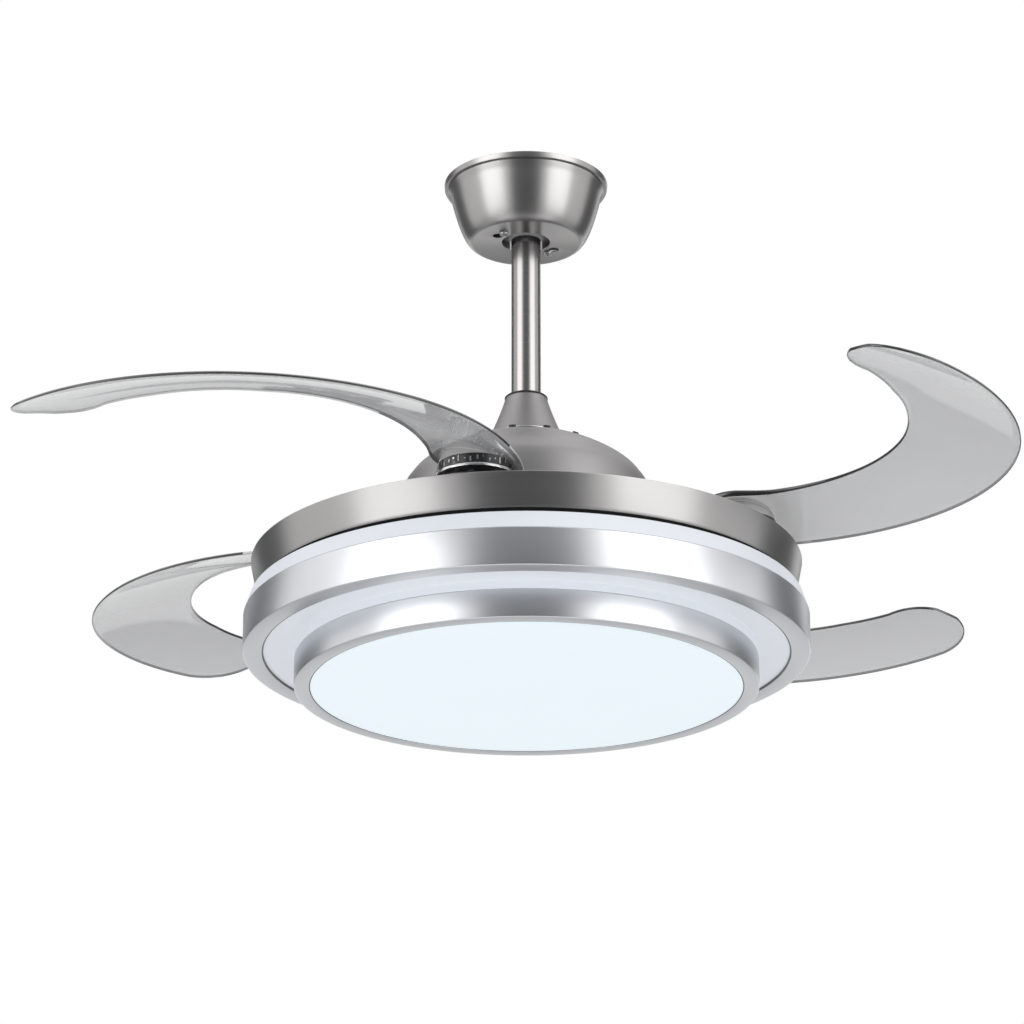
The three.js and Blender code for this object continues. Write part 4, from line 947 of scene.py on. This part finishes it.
def rib_mesh():
    """Bright upright ribs of uneven length round a black band, inside the clear root."""
    mesh = bmesh.new()
    band = [(BOWL_RADIUS - 1.6, 0.3), (BOWL_RADIUS - 0.7, 0.3), (BOWL_RADIUS - 1.2, RIB_HEIGHT),
            (BOWL_RADIUS - 2.1, RIB_HEIGHT)]
    count = 40
    for k in range(count):
        degrees = 360 * k / count + 2 * ((k * 11) % 7) / 7
        foot = 1.2 + 3.4 * ((k * 7) % 5) / 4
        top = RIB_HEIGHT - 1.2 - 3.0 * ((k * 3) % 4) / 3
        inner, outer = BOWL_RADIUS - 1.5, BOWL_RADIUS - 0.4
        half = 0.5 + 0.9 * ((k * 5) % 4) / 3
        corners = [polar(inner, degrees - half), polar(outer, degrees - half),
                   polar(outer, degrees + half), polar(inner, degrees + half)]
        prism(mesh, corners, foot, top)
    return lathe(mesh, band, 96, index=1)


def cup_mesh():
    """Clear cup round the pivot under a slanted lid, with a pale bead round the lid as a painted highlight.
    """
    mesh = bmesh.new()
    steps = 96
    lid_bore = 10.0
    for index in (0, 1):
        rows = []
        for k in range(steps):
            degrees = 360 * k / steps
            across = math.cos(math.radians(degrees))
            crest = cup_top(BOSS_TOP_RADIUS * across)
            inner_crest = cup_top(lid_bore * across)
            brim = BOSS_TOP_RADIUS
            wall = [(BOSS_RADIUS, RIB_HEIGHT), (brim + 0.5, crest - 1.0), (brim, crest),
                    (lid_bore, inner_crest), (lid_bore, inner_crest - CUP_SHEET),
                    (brim - CUP_SHEET, crest - CUP_SHEET), (BOSS_RADIUS - CUP_SHEET, RIB_HEIGHT)]
            line = max(RIB_HEIGHT + 0.3, crest - 4.3)
            bead = [(brim - 0.4, line), (brim + 1.9, line), (brim + 1.6, line + 1.0),
                    (brim - 0.4, line + 1.0)]
            spots = [(*polar(radius, degrees), z) for radius, z in (wall, bead)[index]]
            rows.append([mesh.verts.new((x * MM, y * MM, z * MM)) for x, y, z in spots])
        for here, there in zip(rows, rows[1:] + rows[:1]):
            for i in range(len(here)):
                j = (i + 1) % len(here)
                mesh.faces.new((here[i], here[j], there[j], there[i])).material_index = index
    return mesh


def make_blades():
    for k in BLADES:
        azimuth = PIVOT_AZIMUTH + 90 * (k - 1)
        x, y = polar(PIVOT_RADIUS, azimuth)
        turn = Matrix.Rotation(math.radians(azimuth + FOLD_ANGLE), 4, "Z")
        at_root = Matrix.Translation((x * MM, y * MM, low(f"blade_{k}") * MM)) @ turn
        at_hub = Matrix.Translation((x * MM, y * MM, low(f"hub_{k}") * MM)) @ turn
        body = f"blade_{k}"
        finish_piece(f"blade_sheet_{k}", blade_mesh(), [BLADE, SHADED_EDGE, HIGHLIGHT_EDGE], body,
                     [f"blade_{k}"], at_root)
        finish_piece(f"blade_cup_{k}", cup_mesh(), [BOSS, HIGHLIGHT_EDGE], body, (), at_root)
        finish_piece(f"hub_bowl_{k}", hub_mesh(), [GLOSS_BLACK], body, [f"hub_{k}"], at_hub)
        turned(f"hub_ring_{k}", [
            (BOWL_RADIUS - 2, HUB_HEIGHT - 2.7, 0.3), (BOWL_RADIUS + 0.5, HUB_HEIGHT - 2.7, 0.5),
            (BOWL_RADIUS + 0.1, HUB_HEIGHT + 0.1, 0.7), (BOWL_RADIUS - 2, HUB_HEIGHT + 0.1, 0.3)],
               CHROME, body, (), 120, at_hub)
        finish_piece(f"hub_ribs_{k}", rib_mesh(), [STEEL, GLOSS_BLACK], body, (), at_root)


# --------------------------------------------------- ring gear and cover
def make_ring_gear():
    toothed = [PIVOT_AZIMUTH + 90 * b + (i - 7) * 360 / RING_TEETH for b in range(4) for i in range(9)]
    plain = GEAR_MODULE * RING_TEETH / 2 - DEDENDUM * GEAR_MODULE
    mesh = prism(bmesh.new(), toothed_outline(RING_TEETH, toothed, plain), low("sync_ring"),
                 high("sync_ring"), [circle(RING_BORE, 160)])
    finish_piece("ring_gear", mesh, [GEAR], "sync_ring", ["sync_ring"])
    turned("gear_guard", [(GUIDE_INNER, low("gear_cover"), 0.3), (GUARD_OUTER, low("gear_cover"), 0.3),
                          (GUARD_OUTER, high("gear_cover"), 0.5), (GUIDE_INNER, high("gear_cover"), 0.5)],
           BLACK, "rotor", ["gear_cover"], 160)


# ------------------------------------------------------- carrier and pivots
def make_carrier():
    foot = low("blade_carrier")
    top = foot + 3.0
    guide_top = top + 9.0
    step_top = top + 3.4
    profile = rounded([
        (CARRIER_BORE, foot, 0.4), (CARRIER_RADIUS, foot, 0.8), (CARRIER_RADIUS, top, 0.8), (146, top, 0),
        (146, step_top, 0.4), (GUIDE_OUTER, step_top, 0), (GUIDE_OUTER, guide_top, 0.3),
        (GUIDE_INNER, guide_top, 0.3), (GUIDE_INNER, top, 0), (CARRIER_BORE, top, 0.4)])
    piece = finish_piece("carrier_plate", lathe(bmesh.new(), profile, 180), [BLACK], "rotor",
                         ["blade_carrier"])
    tools = []
    for k in range(4):
        start = PIVOT_AZIMUTH + 90 * k + 45 - 23
        arc = [start + 46 * i / 24 for i in range(25)]
        window = [polar(215, a) for a in arc] + [polar(162, a) for a in reversed(arc)]
        tools.append(cutter(prism(bmesh.new(), window, foot - 1, top + 1)))
    carve(piece, tools)
    for k in BLADES:
        x, y = polar(PIVOT_RADIUS, PIVOT_AZIMUTH + 90 * (k - 1))
        place = Matrix.Translation((x * MM, y * MM, 0))
        turned(f"thrust_ring_{k}", [
            (20, top - 0.3, 0), (25, top - 0.3, 0), (25, top + 3.7, 0.4), (20, top + 3.7, 0.4)],
               BLACK, "rotor", (), 72, place)
        pin_low, pin_high = low(f"pivot_pin_{k}"), high(f"pivot_pin_{k}")
        clip = pin_high - 4.7
        turned(f"pin_{k}", [
            (0, pin_low, 0), (9, pin_low, 0.8), (9, pin_low + 2.7, 0.2), (PIN_RADIUS, pin_low + 2.7, 0),
            (PIN_RADIUS, clip, 0), (10.5, clip, 0.3), (10.5, clip + 1.5, 0.3), (PIN_RADIUS, clip + 1.5, 0),
            (PIN_RADIUS, pin_high, 1.0), (0, pin_high, 0)],
               STEEL, "rotor", [f"pivot_pin_{k}"], 48, place)


# --------------------------------------------------------------------- stage
def add_light(name, place, target, width, energy, height=None):
    data = bpy.data.lights.new(name, "AREA")
    data.shape = "RECTANGLE"
    data.size = width
    data.size_y = height or width
    data.energy = energy
    lamp = bpy.data.objects.new(name, data)
    lamp.location = place
    aim = Vector(target) - Vector(place)
    lamp.rotation_euler = aim.to_track_quat("-Z", "Y").to_euler()
    bpy.context.scene.collection.objects.link(lamp)


# Azimuths from +X in degrees; the camera stands at -90.
SOFTBOXES = (("key", -142, 12, 2.1, 3.4, 40), ("second", -38, 12, 2.1, 3.4, 40),
             ("low_left", -140, -48, 1.5, 1.5, 7), ("low_right", -40, -48, 1.5, 1.5, 7))
# Name, middle azimuth, half sweep, distance, foot and head heights, glow.
DARK_CARDS = (("front_low", -90, 23, 2.6, -3.3, 0.05, 0.03), ("front_high", -90, 22, 2.6, 0.05, 4.5, 0.24),
              ("side_right", 36, 17, 5.0, -3.3, 3.2, 0.11), ("side_left", 138, 18, 5.0, -3.3, 3.2, 0.13),
              ("behind", 90, 22, 4.2, 0.6, 3.6, 0.12))


def on_dome(azimuth, elevation, distance):
    """A point round the fan, at the tray's height plus the elevation."""
    flat = distance * math.cos(math.radians(elevation))
    return Vector((flat * math.cos(math.radians(azimuth)), flat * math.sin(math.radians(azimuth)),
                   -0.38 + distance * math.sin(math.radians(elevation))))


def add_card(name, azimuth, half_sweep, radius, foot, head, glow):
    """A dark curved card that only reflections see."""
    mesh = bmesh.new()
    steps = 10
    rows = []
    for k in range(steps + 1):
        turn = math.radians(azimuth - half_sweep + 2 * half_sweep * k / steps)
        x, y = radius * math.cos(turn), radius * math.sin(turn)
        rows.append((mesh.verts.new((x, y, foot)), mesh.verts.new((x, y, head))))
    for (a, b), (c, d) in zip(rows, rows[1:]):
        mesh.faces.new((a, c, d, b))
    surface = Nodes(name)
    shade(surface, (0.02, 0.02, 0.02), 0.9, Emission_Strength=glow)
    surface.shader.inputs["Emission Color"].default_value = (0.93, 0.97, 1.0, 1.0)
    card = new_object(name, mesh, [surface.material])
    card.visible_camera = False
    card.visible_diffuse = False
    card.visible_shadow = False
    card.visible_transmission = False


def make_stage():
    world = bpy.data.worlds.new("studio")
    bpy.context.scene.world = world
    world.use_nodes = True
    tree = world.node_tree
    background = tree.nodes["Background"]
    path = tree.nodes.new("ShaderNodeLightPath")
    seen = tree.nodes.new("ShaderNodeMath")
    seen.operation = "MAXIMUM"
    tree.links.new(path.outputs["Is Camera Ray"], seen.inputs[0])
    through = tree.nodes.new("ShaderNodeMath")
    through.operation = "MAXIMUM"
    tree.links.new(path.outputs["Is Glossy Ray"], through.inputs[0])
    tree.links.new(path.outputs["Is Transmission Ray"], through.inputs[1])
    tree.links.new(through.outputs[0], seen.inputs[1])
    level = tree.nodes.new("ShaderNodeMapRange")
    level.inputs["To Min"].default_value = 0.5
    level.inputs["To Max"].default_value = 1.0
    tree.links.new(seen.outputs[0], level.inputs["Value"])
    background.inputs["Color"].default_value = (1.0, 1.0, 1.0, 1.0)
    tree.links.new(level.outputs[0], background.inputs["Strength"])

    mesh = bmesh.new()
    half = 9.0
    floor_z = -3.4
    mesh.faces.new([mesh.verts.new((sx * half, sy * half, floor_z)) for sx, sy in SQUARE])
    surface = Nodes("pale_floor")
    shade(surface, (0.86, 0.86, 0.86), 0.8)
    surface.join(surface.colours(surface.noise(3.0), (0.84, 0.84, 0.84), (0.88, 0.88, 0.88)),
                 surface.shader.inputs["Base Color"])
    surface.shader.inputs["Emission Color"].default_value = (1.0, 1.0, 1.0, 1.0)
    seen_floor = surface.add("ShaderNodeLightPath").outputs["Is Camera Ray"]
    surface.join(surface.ramp(seen_floor, 0.0, 0.4), surface.shader.inputs["Emission Strength"])
    new_object("floor", mesh, [surface.material])

    middle = Vector((0.0, 0.0, -0.38))
    for name, azimuth, elevation, width, height, energy in SOFTBOXES:
        add_light(name, on_dome(azimuth, elevation, 3.2), middle, width, energy, height)
    add_light("top", (0.2, 0.4, 2.6), middle, 2.0, 16)
    add_light("low_fill", (0.0, -1.4, -2.9), middle, 2.4, 9)
    for card in DARK_CARDS:
        add_card(*card)


make_canopy()
make_hanger()
make_coupling()
make_dome()
make_tray()
make_light()
make_blades()
make_ring_gear()
make_carrier()
make_stage()

bpy.context.scene.view_settings.view_transform = "Standard"
